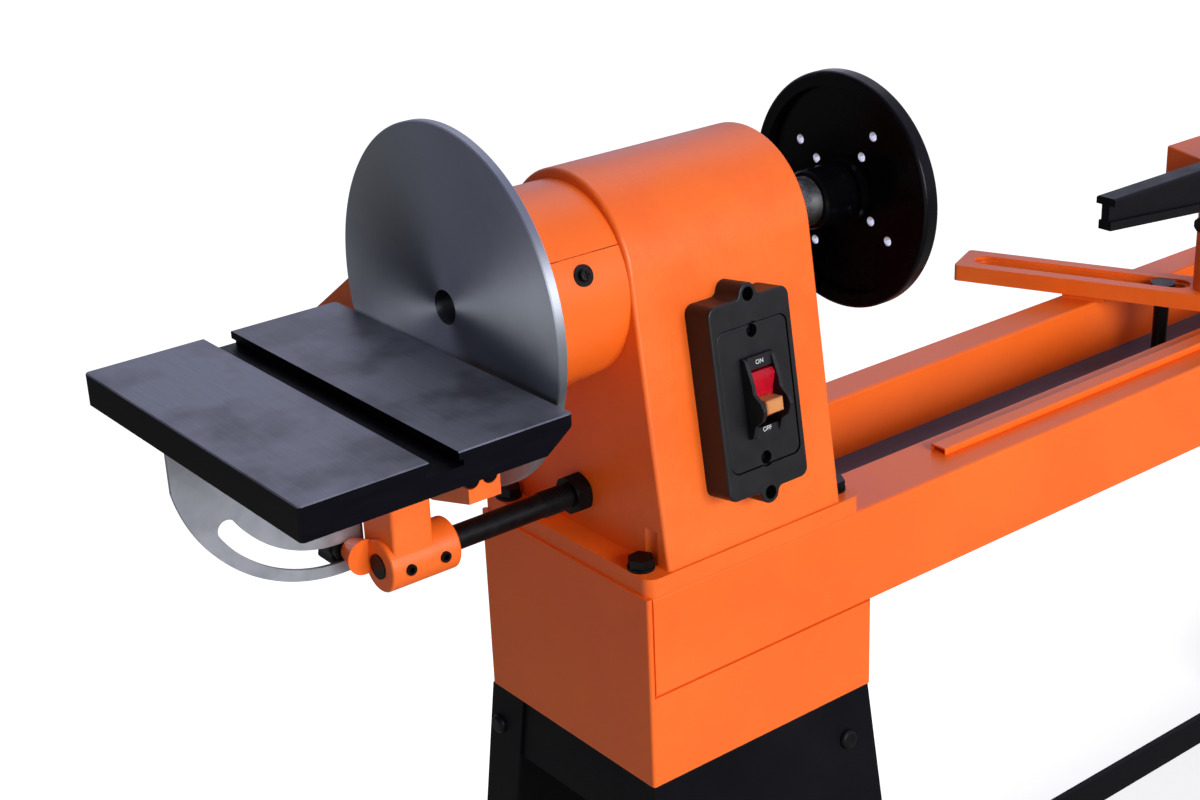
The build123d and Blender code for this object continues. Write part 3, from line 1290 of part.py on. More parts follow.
def tailstock_body():
    """Casting with a tongue between the rails and a bored barrel on the spindle line."""
    right = TAIL_LEFT + TAIL_LENGTH
    base = block((TAIL_LEFT, right), (TAIL_FRONT, BED_DEPTH), (GAP, TAIL_BASE))
    base = fillet(base.edges().filter_by(Axis.Z), 8)
    base += block(
        (TAIL_LEFT, right), (FRONT_RAIL + PLAY, BED_DEPTH - REAR_RAIL - PLAY), (-TAIL_TONGUE, TAIL_BASE - 1))
    half = TAIL_COLUMN_HALF
    outline = polygon(
        (SPINDLE_Y - half, TAIL_BASE - 1), (SPINDLE_Y + half, TAIL_BASE - 1),
        (SPINDLE_Y + BARREL_RADIUS - 2, SPINDLE_HEIGHT), (SPINDLE_Y - BARREL_RADIUS + 2, SPINDLE_HEIGHT))
    column_left = TAIL_LEFT + TAIL_COLUMN_LEFT
    column = prism(outline, "x", column_left, column_left + TAIL_COLUMN_LENGTH)
    uprights = [e for e in column.edges() if abs(e.center().Z - (TAIL_BASE + SPINDLE_HEIGHT) / 2) < 9]
    base += fillet(uprights, 8)
    barrel = rod_x(BARREL_RADIUS, (BARREL_LEFT, BARREL_RIGHT), AXIS)
    base += fillet(barrel.edges().filter_by(GeomType.CIRCLE), 3)
    lock_x = BARREL_LEFT + QUILL_LOCK_X
    base += rod_z(11, (SPINDLE_HEIGHT, SPINDLE_HEIGHT + BARREL_RADIUS + 5), (lock_x, SPINDLE_Y))
    base -= rod_x(QUILL_RADIUS + RUN, (BARREL_LEFT - 1, BARREL_RIGHT - BARREL_CAP), AXIS)
    base -= rod_x(SCREW_RADIUS + RUN, (BARREL_LEFT, BARREL_RIGHT + 1), AXIS)
    base -= rod_z(
        LEVER_RADIUS + RUN, (SPINDLE_HEIGHT, SPINDLE_HEIGHT + BARREL_RADIUS + 9), (lock_x, SPINDLE_Y))
    return base - rod_z(CLAMP_BOLT + PLAY, (-99, TAIL_BASE + 1), TAIL_BOLT)


def tailstock_clamp():
    """Clamp plate under the rails with its bolt through the base."""
    y = clamp_plate_y()
    half = CLAMP_PLATE_WIDTH / 2
    x = (TAIL_BOLT[0] - half + 5, TAIL_BOLT[0] + half + 5)
    clamp = block(x, y, (UNDER_RAIL - CLAMP_PLATE_THICK, UNDER_RAIL))
    clamp += rod_z(CLAMP_BOLT, (UNDER_RAIL - 1, TAIL_BASE + 14), TAIL_BOLT)
    return clamp


def hand_lever(hub, hub_tall, length):
    """Lever nut on z = 0 with its arm along +X, rising to a round grip."""
    lever = rod_z(hub, (0, hub_tall), (0, 0))
    lever = chamfer(lever.edges().group_by(Axis.Z)[-1], 1.5)
    lift = radians(14)
    axis = (cos(lift), 0, sin(lift))
    lever += rod(LEVER_RADIUS, (0, 0, hub_tall / 2), axis, length)
    tip = Vector(0, 0, hub_tall / 2) + Vector(*axis) * length
    return lever + Pos(tip) * Sphere(LEVER_RADIUS + 4)


def tailstock_lever():
    """Lever nut on the clamp bolt, pointing to the front."""
    nut = hand_lever(14, 18, LEVER_ARM - LEVER_RADIUS - 6)
    nut = Rot(0, 0, -90) * nut - rod_z(CLAMP_BOLT + RUN, (-1, 15), (0, 0))
    return Pos(*TAIL_BOLT, TAIL_BASE + GAP) * nut


def quill():
    """Sliding barrel with a socket for the centre and a nut end for the screw."""
    x = (QUILL_LEFT, QUILL_LEFT + QUILL_LENGTH)
    sleeve = rod_x(QUILL_RADIUS, x, AXIS)
    sleeve = chamfer(sleeve.edges().filter_by(GeomType.CIRCLE), 1)
    sleeve -= rod_x(QUILL_BORE, (x[0] - 1, x[0] + CENTER_SHANK_LONG + 2), AXIS)
    return sleeve - rod_x(SCREW_RADIUS + RUN, (x[0], x[1] + 1), AXIS)


def live_center():
    """Turning centre in the quill."""
    shoulder = QUILL_LEFT - GAP
    cone = shoulder - CENTER_TIP - 10
    tip = Plane((shoulder - 10, *AXIS), z_dir=(-1, 0, 0)) * Cone(
        CENTER_RADIUS, 0.4, cone, align=(Align.CENTER, Align.CENTER, Align.MIN))
    body = tip + rod_x(CENTER_RADIUS, (shoulder - 10, shoulder), AXIS)
    return body + rod_x(CENTER_SHANK + 0.9, (shoulder, QUILL_LEFT + CENTER_SHANK_LONG), AXIS)


def handwheel():
    """Dished wheel with a crank grip on the quill screw."""
    x = (WHEEL_LEFT, WHEEL_LEFT + WHEEL_THICK)
    at = (WHEEL_LEFT + WHEEL_THICK / 2, *AXIS)
    rim = Plane(at, z_dir=(1, 0, 0)) * Torus(WHEEL_RADIUS - WHEEL_RIM, WHEEL_RIM * 0.85)
    wheel = rim + rod_x(WHEEL_HUB, x, AXIS)
    web = rod_x(WHEEL_RADIUS - WHEEL_RIM, (at[0] - 3, at[0] + 3), AXIS)
    for hole in range(3):
        turn = radians(90 + 120 * hole)
        spot = (AXIS[0] + 38 * cos(turn), AXIS[1] + 38 * sin(turn))
        web -= rod_x(14, (at[0] - 9, at[0] + 9), spot)
    wheel += web
    crank = (AXIS[0], AXIS[1] - WHEEL_RADIUS + WHEEL_RIM)
    grip = rod_x(CRANK_RADIUS, (at[0], at[0] + CRANK_LONG), crank)
    wheel += fillet(grip.edges().group_by(Axis.X)[-1], 4)
    return wheel + rod_x(SCREW_RADIUS, (QUILL_LEFT + CENTER_SHANK_LONG + 6, x[1]), AXIS)


def quill_lock_lever():
    """Lever screw on top of the barrel."""
    top = SPINDLE_HEIGHT + BARREL_RADIUS + 5 + GAP
    at = (BARREL_LEFT + QUILL_LOCK_X, SPINDLE_Y)
    lever = Pos(*at, top) * (Rot(0, 0, -90) * hand_lever(9, 12, LEVER_ARM * 0.8))
    return lever + rod_z(LEVER_RADIUS, (SPINDLE_HEIGHT + QUILL_RADIUS + GAP, top + 1), at)


# Copying attachment


def copy_carriage():
    """Saddle over the guide strip with the column and its cross way."""
    x = (CARRIAGE_LEFT, CARRIAGE_LEFT + CARRIAGE_LENGTH)
    back = TAIL_FRONT - GAP
    saddle = block(x, (-CARRIAGE_APRON, back), (GAP, CARRIAGE_BASE))
    saddle += block(x, (-CARRIAGE_APRON, -GAP), (-CARRIAGE_LAP, CARRIAGE_BASE))
    saddle = fillet(saddle.edges().filter_by(Axis.Z), 1.2)
    strip = (STRIP_FRONT - GAP, STRIP_FRONT + STRIP_WIDTH + GAP)
    saddle -= block((x[0] - 1, x[1] + 1), strip, (-1, STRIP_HEIGHT + GAP))
    foot_half, top_half = COLUMN_WIDTH / 2 + 12, COLUMN_WIDTH / 2
    column = polygon(
        (COLUMN_X - foot_half, CARRIAGE_BASE - 1), (COLUMN_X + foot_half, CARRIAGE_BASE - 1),
        (COLUMN_X + top_half - 8, WAY_BOTTOM + 1), (COLUMN_X - top_half + 8, WAY_BOTTOM + 1))
    column = prism(column, "y", COLUMN_FRONT, COLUMN_BACK)
    uprights = [e for e in column.edges() if abs(e.center().Z - (CARRIAGE_BASE + WAY_BOTTOM) / 2) < 9]
    saddle += fillet(uprights, 6)
    half = WAY_WIDTH / 2
    way = polygon(
        (COLUMN_X - half + 5, WAY_BOTTOM), (COLUMN_X + half - 5, WAY_BOTTOM),
        (COLUMN_X + half, WAY_TOP), (COLUMN_X - half, WAY_TOP))
    return saddle + prism(way, "y", WAY_FRONT, COLUMN_BACK)


def copy_slide():
    """Cross slide on the dovetail way with the cutter and a grip."""
    half = SLIDE_WIDTH / 2
    slide = block(
        (COLUMN_X - half, COLUMN_X + half), (SLIDE_FRONT, SLIDE_BACK), (WAY_BOTTOM + 1 + GAP, SLIDE_TOP))
    slide = fillet(slide.edges().filter_by(Axis.Z), 3)
    half = WAY_WIDTH / 2
    room = polygon(
        (COLUMN_X - half + 4.2, WAY_BOTTOM), (COLUMN_X + half - 4.2, WAY_BOTTOM),
        (COLUMN_X + half + 0.5, WAY_TOP + GAP), (COLUMN_X - half - 0.5, WAY_TOP + GAP))
    slide -= prism(room, "y", SLIDE_FRONT + 12, SLIDE_BACK + 1)
    size = CUTTER_SIZE / 2
    bar = block(
        (COLUMN_X - size, COLUMN_X + size), (SLIDE_FRONT + 30, CUTTER_TIP - 16),
        (SLIDE_TOP, SLIDE_TOP + 2 * size))
    point = polygon(
        (COLUMN_X - size, CUTTER_TIP - 16), (COLUMN_X + size, CUTTER_TIP - 16), (COLUMN_X, CUTTER_TIP))
    slide += bar + prism(point, "z", SLIDE_TOP + size - 3, SLIDE_TOP + size)
    for y in (SLIDE_FRONT + 44, SLIDE_BACK - 34):
        slide += block(
            (COLUMN_X - 18, COLUMN_X + 18), (y - 7, y + 7), (SLIDE_TOP - 1, SLIDE_TOP + 2 * size + 8))
        slide += Pos(COLUMN_X, y, SLIDE_TOP + 2 * size + 8) * extrude(hexagon(10), 6)
    stem = rod_z(GRIP_STEM, (SLIDE_TOP - 1, SLIDE_TOP + 48), (COLUMN_X, SLIDE_FRONT + 14))
    return slide + stem + Pos(COLUMN_X, SLIDE_FRONT + 14, SLIDE_TOP + 52) * Sphere(GRIP_RADIUS)


def follower():
    """Finger that hangs behind the column and follows the template."""
    y = (SLIDE_BACK, SLIDE_BACK + FOLLOWER_THICK)
    half = FOLLOWER_WIDTH / 2
    hanger = block(
        (COLUMN_X - half, COLUMN_X + half), y, (FOLLOWER_HEIGHT - 2 * FOLLOWER_PIN, WAY_TOP - 4))
    half = SLIDE_WIDTH / 2 - 3
    hanger += block((COLUMN_X - half, COLUMN_X + half), y, (WAY_BOTTOM + 2, WAY_TOP - 4))
    finger = rod_y(FOLLOWER_PIN, (y[1] - 1, FOLLOWER_END), (COLUMN_X, FOLLOWER_HEIGHT))
    return hanger + chamfer(finger.edges().group_by(Axis.Y)[-1], 2)


def template_bracket(left):
    """Upright hooked on the rear rail with a head that reaches towards the headstock."""
    post = (left + TEMPLATE_REACH, left + TEMPLATE_REACH + TEMPLATE_POST)
    front, rear = BED_DEPTH - REAR_RAIL, BED_DEPTH + GAP
    low = TEMPLATE_TOP - TEMPLATE_HEAD
    side = polygon(
        (front, GAP), (rear, GAP), (rear, -TEMPLATE_DROP), (rear + TEMPLATE_WALL, -TEMPLATE_DROP),
        (rear + TEMPLATE_WALL, 20), (BED_DEPTH - 4, low + 1), (front + 4, low + 1))
    upright = prism(side, "x", *post)
    fall = TEMPLATE_FALL * (BED_DEPTH - TEMPLATE_FRONT)
    top = polygon(
        (TEMPLATE_FRONT, low), (BED_DEPTH, low), (BED_DEPTH, TEMPLATE_TOP),
        (TEMPLATE_FRONT, TEMPLATE_TOP - fall))
    head = prism(top, "x", left, post[1])
    head = fillet(head.edges(), 2)
    for x in (left + 16, post[1] - 16):
        y = (TEMPLATE_FRONT - 1, TEMPLATE_FRONT + 18)
        head -= rod_y(TEMPLATE_SCREW, y, (x, low + TEMPLATE_HEAD / 2 - 3))
    return upright + head


# Assembly


def make_parts():
    left_front = stand_front()
    left_rear = mirrored_y(left_front)
    cross = stand_cross_plates()
    feet = [foot(spot) for spot in foot_spots()]
    parts = {
        "left_stand_front_panel": left_front,
        "left_stand_rear_panel": left_rear,
        "left_stand_cross_plates": group(cross),
        "right_stand_front_panel": mirrored_x(left_front),
        "right_stand_rear_panel": mirrored_x(left_rear),
        "right_stand_cross_plates": group(mirrored_x(plate) for plate in cross),
        "tie_bar": tie_bar(),
        "stand_feet": group(feet + [mirrored_x(piece) for piece in feet]),
        "stand_bolts": group(stand_bolts()),
        "front_rail": rail((0, FRONT_RAIL)),
        "rear_rail": rail((BED_DEPTH - REAR_RAIL, BED_DEPTH)),
        "left_base_box": base_box(),
        "right_base_box": mirrored_x(base_box()),
        "guide_bar": guide_bar(),
        "guide_strip": guide_strip(),
        "headstock": headstock(),
        "headstock_bolts": group(head_bolts()),
        "spindle_bearings": group(bearings()),
        "guard_upper": guard_upper(),
        "guard_lower": guard_lower(),
        "cover_screws": group(cover_screws()),
        "motor_body": motor_body(),
        "v_belt": v_belt(),
        "switch_box": switch_box(),
        "switch_plate": switch_plate(),
        "support_rod": support_rod(),
        "rod_nut": rod_nut(),
        "spindle": spindle(),
        "sanding_disc": sanding_disc(),
        "faceplate": faceplate(),
        "spindle_pulley": pulley(spindle_radii(), SHAFT_RADIUS, AXIS),
        "motor_shaft": motor_shaft(),
        "motor_pulley": pulley(STEP_RADII, MOTOR_SHAFT, MOTOR_AXIS),
        "table_bracket": table_bracket(),
        "bracket_setscrews": group(setscrews()),
        "tilt_knob": tilt_knob(),
        "sanding_table": sanding_table(),
        "table_trunnion": trunnion(),
        "tilt_quadrant": quadrant(),
        "tilt_pivot_pin": pivot_pin(),
        "switch_paddle": switch_paddle(),
        "safety_key": safety_key(),
        "banjo_clamp_plate": clamp_plate(),
        "banjo_clamp_bolt": clamp_bolt(),
        "banjo": banjo(),
        "rest_collar": rest_collar(),
        "tool_rest": tool_rest(),
        "rest_lock_knob": rest_lock_knob(),
        "tailstock_body": tailstock_body(),
        "tailstock_clamp": tailstock_clamp(),
        "tailstock_lever": tailstock_lever(),
        "quill": quill(),
        "live_center": live_center(),
        "handwheel": handwheel(),
        "quill_lock_lever": quill_lock_lever(),
        "copy_carriage": copy_carriage(),
        "copy_slide": copy_slide(),
        "follower": follower(),
        "template_bracket_left": template_bracket(BRACKET_LEFT),
        "template_bracket_right": template_bracket(BRACKET_LEFT + BRACKET_SPACING),
    }
    return parts


def show_frame():
    """Shift from machine coordinates to the floor under the middle of the machine."""
    right = max(BED_LENGTH, WHEEL_LEFT + WHEEL_THICK / 2 + CRANK_LONG)
    front = min(panel_y(STAND_FOOT), SLIDE_FRONT)
    back = max(MOTOR_AXIS[0] + GUARD_MOTOR_RADIUS, BED_DEPTH - panel_y(STAND_FOOT))
    return Vector(-(min(TABLE_LEFT, BOSS_LEFT) + right) / 2, -(front + back) / 2, BED_HEIGHT)


def joint_points():
    """Points on the joint axes, in machine coordinates."""
    pivot = SWITCH_PLANE.from_local_coords((0, 0, PADDLE_PIVOT))
    return {
        "spindle": (0, *AXIS),
        "motor": (0, *MOTOR_AXIS),
        "table_tilt": (PIVOT_X, SPINDLE_Y, PIVOT_Z),
        "tilt_knob": (STUD_X, QUADRANT_FRONT, STUD_Z),
        "paddle": tuple(pivot),
        "clamp_bolt": (CLAMP_X, CLAMP_Y, 0),
        "rest_post": (POST_X, POST_Y, POST_TOP),
        "rest_lock": (POST_X - POST_RADIUS, POST_Y, LOCK_UP),
        "tail_lever": (*TAIL_BOLT, TAIL_BASE),
        "quill_lock": (BARREL_LEFT + QUILL_LOCK_X, SPINDLE_Y, SPINDLE_HEIGHT + BARREL_RADIUS),
        "faceplate_face": (FACEPLATE_FACE, *AXIS),
        "disc_face": (-DISC_FACE, *AXIS),
        "slot_floor": (TABLE_LEFT + SLOT_LEFT + SLOT_WIDTH / 2, TABLE_FRONT, TABLE_TOP - SLOT_DEPTH),
        "floor": (SPINDLE_Y, SPINDLE_Y, -BED_HEIGHT),
    }


shift = show_frame()
os.makedirs("parts", exist_ok=True)
for name, shape in make_parts().items():
    export_step(Pos(shift) * shape, f"parts/{name}.step")
for name, point in joint_points().items():
    print(name, [round(value, 3) for value in Vector(*point) + shift])
print("switch normal", [round(value, 6) for value in SWITCH_PLANE.z_dir])
print("banjo direction", [round(value, 6) for value in BANJO_DIR])
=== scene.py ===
import math

import bpy
from mathutils import Matrix, Vector


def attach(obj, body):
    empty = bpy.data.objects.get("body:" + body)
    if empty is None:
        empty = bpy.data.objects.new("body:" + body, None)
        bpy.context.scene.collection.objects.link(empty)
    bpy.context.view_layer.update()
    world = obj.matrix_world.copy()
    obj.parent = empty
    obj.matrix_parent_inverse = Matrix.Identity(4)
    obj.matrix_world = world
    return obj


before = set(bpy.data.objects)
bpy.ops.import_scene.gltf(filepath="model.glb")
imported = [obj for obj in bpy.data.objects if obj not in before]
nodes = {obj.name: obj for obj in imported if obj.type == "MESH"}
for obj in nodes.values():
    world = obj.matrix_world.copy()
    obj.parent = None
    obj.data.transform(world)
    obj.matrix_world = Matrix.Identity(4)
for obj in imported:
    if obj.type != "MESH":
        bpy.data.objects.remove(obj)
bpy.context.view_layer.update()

# Places in the shared frame, in metres, from the part's driving sizes
MM = 0.001
SPINDLE_AXIS = (-0.62215, -0.008408, 0.992)
MOTOR_AXIS = (-0.62215, 0.153592, 0.885)
TABLE_TOP = 0.9605
GROUND_DEPTH = 1.2 * MM  # from the table's top to where its paint starts
FACING_UP = 0.6  # least rise of a normal on the ground top
SWITCH_MIDDLE = Vector((-0.52115, -0.089313, 0.903938))
SWITCH_OUT = Vector((0, -0.988339, 0.152271))
SWITCH_UP = Vector((0, 0.152271, 0.988339))
HOOD_FACE = 29 * MM  # front of the hood's end blocks above the headstock
HOOD_WORDS = {"ON": 24.4 * MM, "OFF": -24.2 * MM}  # up from the middle of the switch
WORD_SIZE = 4.6 * MM
INK_THICK = 0.06 * MM
ROD_MIDDLE = (-0.008408, 0.823)
ROD_RADIUS = 9 * MM
ROD_THREAD = (-0.63815, -0.61355)
THREAD_PITCH = 2.5 * MM
THREAD_RIDGE = 0.75 * MM
THREAD_STEPS = 28  # a turn
DISC_HOLE = 11.9 * MM
HOLE_MARGIN = 0.25 * MM  # round a hole, so that its faceted wall lies inside
FACEPLATE_RINGS = (35 * MM, 56.5 * MM)
FACEPLATE_HOLE = 3.6 * MM
FACEPLATE_TURN = math.radians(33)


def linear(code):
    """Linear colour with alpha from an sRGB hex code."""
    parts = [int(code[i:i + 2], 16) / 255 for i in (0, 2, 4)]
    return tuple(c / 12.92 if c <= 0.04045 else ((c + 0.055) / 1.055) ** 2.4 for c in parts) + (1.0,)


def add_node(tree, kind, inputs=None, **settings):
    """One node with its settings, and its inputs as numbers or as links from other sockets."""
    made = tree.nodes.new(kind)
    for name, value in settings.items():
        setattr(made, name, value)
    for socket, value in (inputs or {}).items():
        if isinstance(value, bpy.types.NodeSocket):
            tree.links.new(value, made.inputs[socket])
        else:
            made.inputs[socket].default_value = value
    return made


def new_material(name, **sockets):
    """Material with one shader; returns it with its tree, shader and object coordinates."""
    material = bpy.data.materials.new(name)
    material.use_nodes = True
    tree = material.node_tree
    shader = tree.nodes["Principled BSDF"]
    for socket, value in sockets.items():
        shader.inputs[socket.replace("_", " ")].default_value = value
    return material, tree, shader, add_node(tree, "ShaderNodeTexCoord")


def tint_and_rough(tree, shader, coords, size, colours, rough):
    """Colour and roughness that drift between two values over patches of a size."""
    patches = add_node(tree, "ShaderNodeTexNoise", {
        "Vector": coords, "Scale": 1 / size, "Detail": 5.0, "Roughness": 0.62})
    shades = add_node(tree, "ShaderNodeValToRGB", {"Fac": patches.outputs["Fac"]})
    for stop, place, code in zip(shades.color_ramp.elements, (0.32, 0.68), colours):
        stop.position = place
        stop.color = linear(code)
    gloss = add_node(tree, "ShaderNodeMapRange", {
        "Value": patches.outputs["Fac"], "From Min": 0.3, "From Max": 0.7,
        "To Min": rough[0], "To Max": rough[1]})
    tree.links.new(shades.outputs["Color"], shader.inputs["Base Color"])
    tree.links.new(gloss.outputs["Result"], shader.inputs["Roughness"])
    return shades.outputs["Color"]


def grain(tree, shader, coords, size, height, detail=3.0, below=None):
    """Bumps of a size and height, over the normal of what lies below."""
    rough = add_node(tree, "ShaderNodeTexNoise", {
        "Vector": coords, "Scale": 1 / size, "Detail": detail, "Roughness": 0.55})
    inputs = {"Height": rough.outputs["Fac"], "Distance": height, "Strength": 1.0}
    if below is not None:
        inputs["Normal"] = below
    bump = add_node(tree, "ShaderNodeBump", inputs)
    tree.links.new(bump.outputs["Normal"], shader.inputs["Normal"])
    return bump.outputs["Normal"]


def wave_scale(spacing):
    """Scale at which a wave texture repeats after a distance; its own waves are 2 pi / 20 apart."""
    return 2 * math.pi / (20 * spacing)


def orange_enamel_casting():
    """Orange enamel over sand-cast iron: soft pits of the mould show through a thick gloss."""
    material, tree, shader, coords = new_material(
        "orange_enamel_on_cast_iron", IOR=1.5, Specular_IOR_Level=0.45)
    place = coords.outputs["Object"]
    tint_and_rough(tree, shader, place, 60 * MM, ("EC6216", "F46C1C"), (0.34, 0.46))
    wide = grain(tree, shader, place, 9 * MM, 0.3 * MM)
    grain(tree, shader, place, 2.4 * MM, 0.16 * MM, 4.0, wide)
    return material


def orange_powder_sheet():
    """Orange powder coat on tube and sheet: a fine, even orange peel."""
    material, tree, shader, coords = new_material(
        "orange_powder_coat_on_steel", IOR=1.5, Specular_IOR_Level=0.4)
    place = coords.outputs["Object"]
    tint_and_rough(tree, shader, place, 140 * MM, ("EE6417", "F56D1D"), (0.34, 0.44))
    wide = grain(tree, shader, place, 40 * MM, 0.25 * MM, 1.0)
    grain(tree, shader, place, 1.3 * MM, 0.035 * MM, 2.0, wide)
    return material


def black_powder_sheet():
    """Black powder coat on folded sheet: satin with a fine texture, drawn twice its real size to show."""
    material, tree, shader, coords = new_material(
        "black_powder_coat_on_steel", IOR=1.5, Specular_IOR_Level=0.06)
    place = coords.outputs["Object"]
    tint_and_rough(tree, shader, place, 90 * MM, ("07070A", "0D0D12"), (0.42, 0.56))
    grain(tree, shader, place, 0.9 * MM, 0.05 * MM, 2.0)
    return material


def gloss_black_enamel():
    """Black gloss enamel on a turned casting: deep with a slight ripple, bare metal on the holes' walls."""
    material, tree, shader, coords = new_material(
        "gloss_black_enamel_on_cast_iron", IOR=1.5, Specular_IOR_Level=0.1)
    place = coords.outputs["Object"]
    paint = tint_and_rough(tree, shader, place, 35 * MM, ("040406", "08080B"), (0.20, 0.32))
    grain(tree, shader, place, 4 * MM, 0.05 * MM, 2.0)
    spot = add_node(tree, "ShaderNodeMapping", {
        "Vector": place, "Location": SPINDLE_AXIS, "Rotation": (FACEPLATE_TURN, 0, 0)}, vector_type="TEXTURE")
    spot = add_node(tree, "ShaderNodeSeparateXYZ", {"Vector": spot.outputs["Vector"]})
    sides = {}
    for number, axis in enumerate("YZ"):
        side = add_node(tree, "ShaderNodeMath", {0: spot.outputs[axis]}, operation="ABSOLUTE")
        sides[number] = side.outputs[0]
    out = add_node(tree, "ShaderNodeMath", sides, operation="MAXIMUM").outputs[0]
    off = add_node(tree, "ShaderNodeMath", sides, operation="MINIMUM").outputs[0]
    drilled = []
    for ring in FACEPLATE_RINGS:
        past = add_node(tree, "ShaderNodeMath", {0: out, 1: ring}, operation="SUBTRACT").outputs[0]
        away = add_node(tree, "ShaderNodeCombineXYZ", {"X": past, "Y": off})
        away = add_node(tree, "ShaderNodeVectorMath", {0: away.outputs[0]}, operation="LENGTH")
        drilled.append(add_node(tree, "ShaderNodeMath", {
            0: away.outputs["Value"], 1: FACEPLATE_HOLE + HOLE_MARGIN}, operation="LESS_THAN").outputs[0])
    bare = add_node(tree, "ShaderNodeMath", {0: drilled[0], 1: drilled[1]}, operation="MAXIMUM").outputs[0]
    colour = add_node(tree, "ShaderNodeMix", {0: bare, 6: paint, 7: linear("D8DADD")}, data_type="RGBA")
    tree.links.new(colour.outputs[2], shader.inputs["Base Color"])
    tree.links.new(bare, shader.inputs["Metallic"])
    return material


def satin_black_casting():
    """Black satin enamel on cast iron, as on the tool rest: the mould's skin shows as a soft mottle."""
    material, tree, shader, coords = new_material(
        "satin_black_enamel_on_cast_iron", IOR=1.5, Specular_IOR_Level=0.1)
    place = coords.outputs["Object"]
    tint_and_rough(tree, shader, place, 25 * MM, ("07080B", "0E0F14"), (0.36, 0.5))
    grain(tree, shader, place, 2.5 * MM, 0.12 * MM, 4.0)
    return material


def ground_table():
    """Cast iron table: ground grey top with fine lines and oily smudges, brushed black enamel below."""
    material, tree, shader, coords = new_material(
        "ground_cast_iron_with_black_sides", Specular_IOR_Level=0.05)
    place = coords.outputs["Object"]
    spot = add_node(tree, "ShaderNodeSeparateXYZ", {"Vector": place})
    facing = add_node(tree, "ShaderNodeSeparateXYZ", {"Vector": coords.outputs["Normal"]})
    high = add_node(tree, "ShaderNodeMath", {
        0: spot.outputs["Z"], 1: TABLE_TOP - GROUND_DEPTH}, operation="GREATER_THAN")
    level = add_node(tree, "ShaderNodeMath", {0: facing.outputs["Z"], 1: FACING_UP}, operation="GREATER_THAN")
    top = add_node(tree, "ShaderNodeMath", {0: high.outputs[0], 1: level.outputs[0]}, operation="MULTIPLY")
    top = top.outputs[0]
    along = add_node(tree, "ShaderNodeMapping", {
        "Vector": place, "Rotation": (0, 0, math.radians(4)), "Scale": (1, 0.03, 1)})
    lines = add_node(tree, "ShaderNodeTexNoise", {
        "Vector": along.outputs["Vector"], "Scale": 1 / (1.3 * MM), "Detail": 3.0, "Roughness": 0.6})
    cloud = add_node(tree, "ShaderNodeTexNoise", {
        "Vector": place, "Scale": 1 / (55 * MM), "Detail": 3.0, "Roughness": 0.5})
    smudge = add_node(tree, "ShaderNodeMapRange", {
        "Value": cloud.outputs["Fac"], "From Min": 0.36, "From Max": 0.56})
    sum_up = add_node(tree, "ShaderNodeMath", {
        0: lines.outputs["Fac"], 1: 0.9, 2: smudge.outputs["Result"]}, operation="MULTIPLY_ADD")
    steel = add_node(tree, "ShaderNodeValToRGB", {"Fac": add_node(tree, "ShaderNodeMapRange", {
        "Value": sum_up.outputs[0], "From Min": 0.3, "From Max": 1.55}).outputs["Result"]})
    for stop, code in zip(steel.color_ramp.elements, ("4C4E54", "757882")):
        stop.color = linear(code)
    brushed = add_node(tree, "ShaderNodeMapping", {"Vector": place, "Scale": (0.12, 0.12, 1)})
    strokes = add_node(tree, "ShaderNodeTexNoise", {
        "Vector": brushed.outputs["Vector"], "Scale": 1 / (4 * MM), "Detail": 3.0})
    paint = add_node(tree, "ShaderNodeValToRGB", {"Fac": strokes.outputs["Fac"]})
    for stop, code in zip(paint.color_ramp.elements, ("05050A", "0C0C13")):
        stop.color = linear(code)
    colour = add_node(tree, "ShaderNodeMix", {
        0: top, 6: paint.outputs["Color"], 7: steel.outputs["Color"]}, data_type="RGBA")
    shine = add_node(tree, "ShaderNodeMapRange", {
        "Value": strokes.outputs["Fac"], "To Min": 0.22, "To Max": 0.42})
    matt = add_node(tree, "ShaderNodeMapRange", {
        "Value": sum_up.outputs[0], "From Min": 0.3, "From Max": 1.5, "To Min": 0.38, "To Max": 0.52})
    rough = add_node(tree, "ShaderNodeMix", {0: top, 2: shine.outputs["Result"], 3: matt.outputs["Result"]})
    metal = add_node(tree, "ShaderNodeMath", {0: top, 1: 0.6}, operation="MULTIPLY")
    height = add_node(tree, "ShaderNodeMix", {0: top, 2: strokes.outputs["Fac"], 3: lines.outputs["Fac"]})
    bump = add_node(tree, "ShaderNodeBump", {
        "Height": height.outputs[0], "Distance": 0.06 * MM, "Strength": 1.0})
    tree.links.new(colour.outputs[2], shader.inputs["Base Color"])
    tree.links.new(rough.outputs[0], shader.inputs["Roughness"])
    tree.links.new(metal.outputs[0], shader.inputs["Metallic"])
    tree.links.new(bump.outputs["Normal"], shader.inputs["Normal"])
    return material


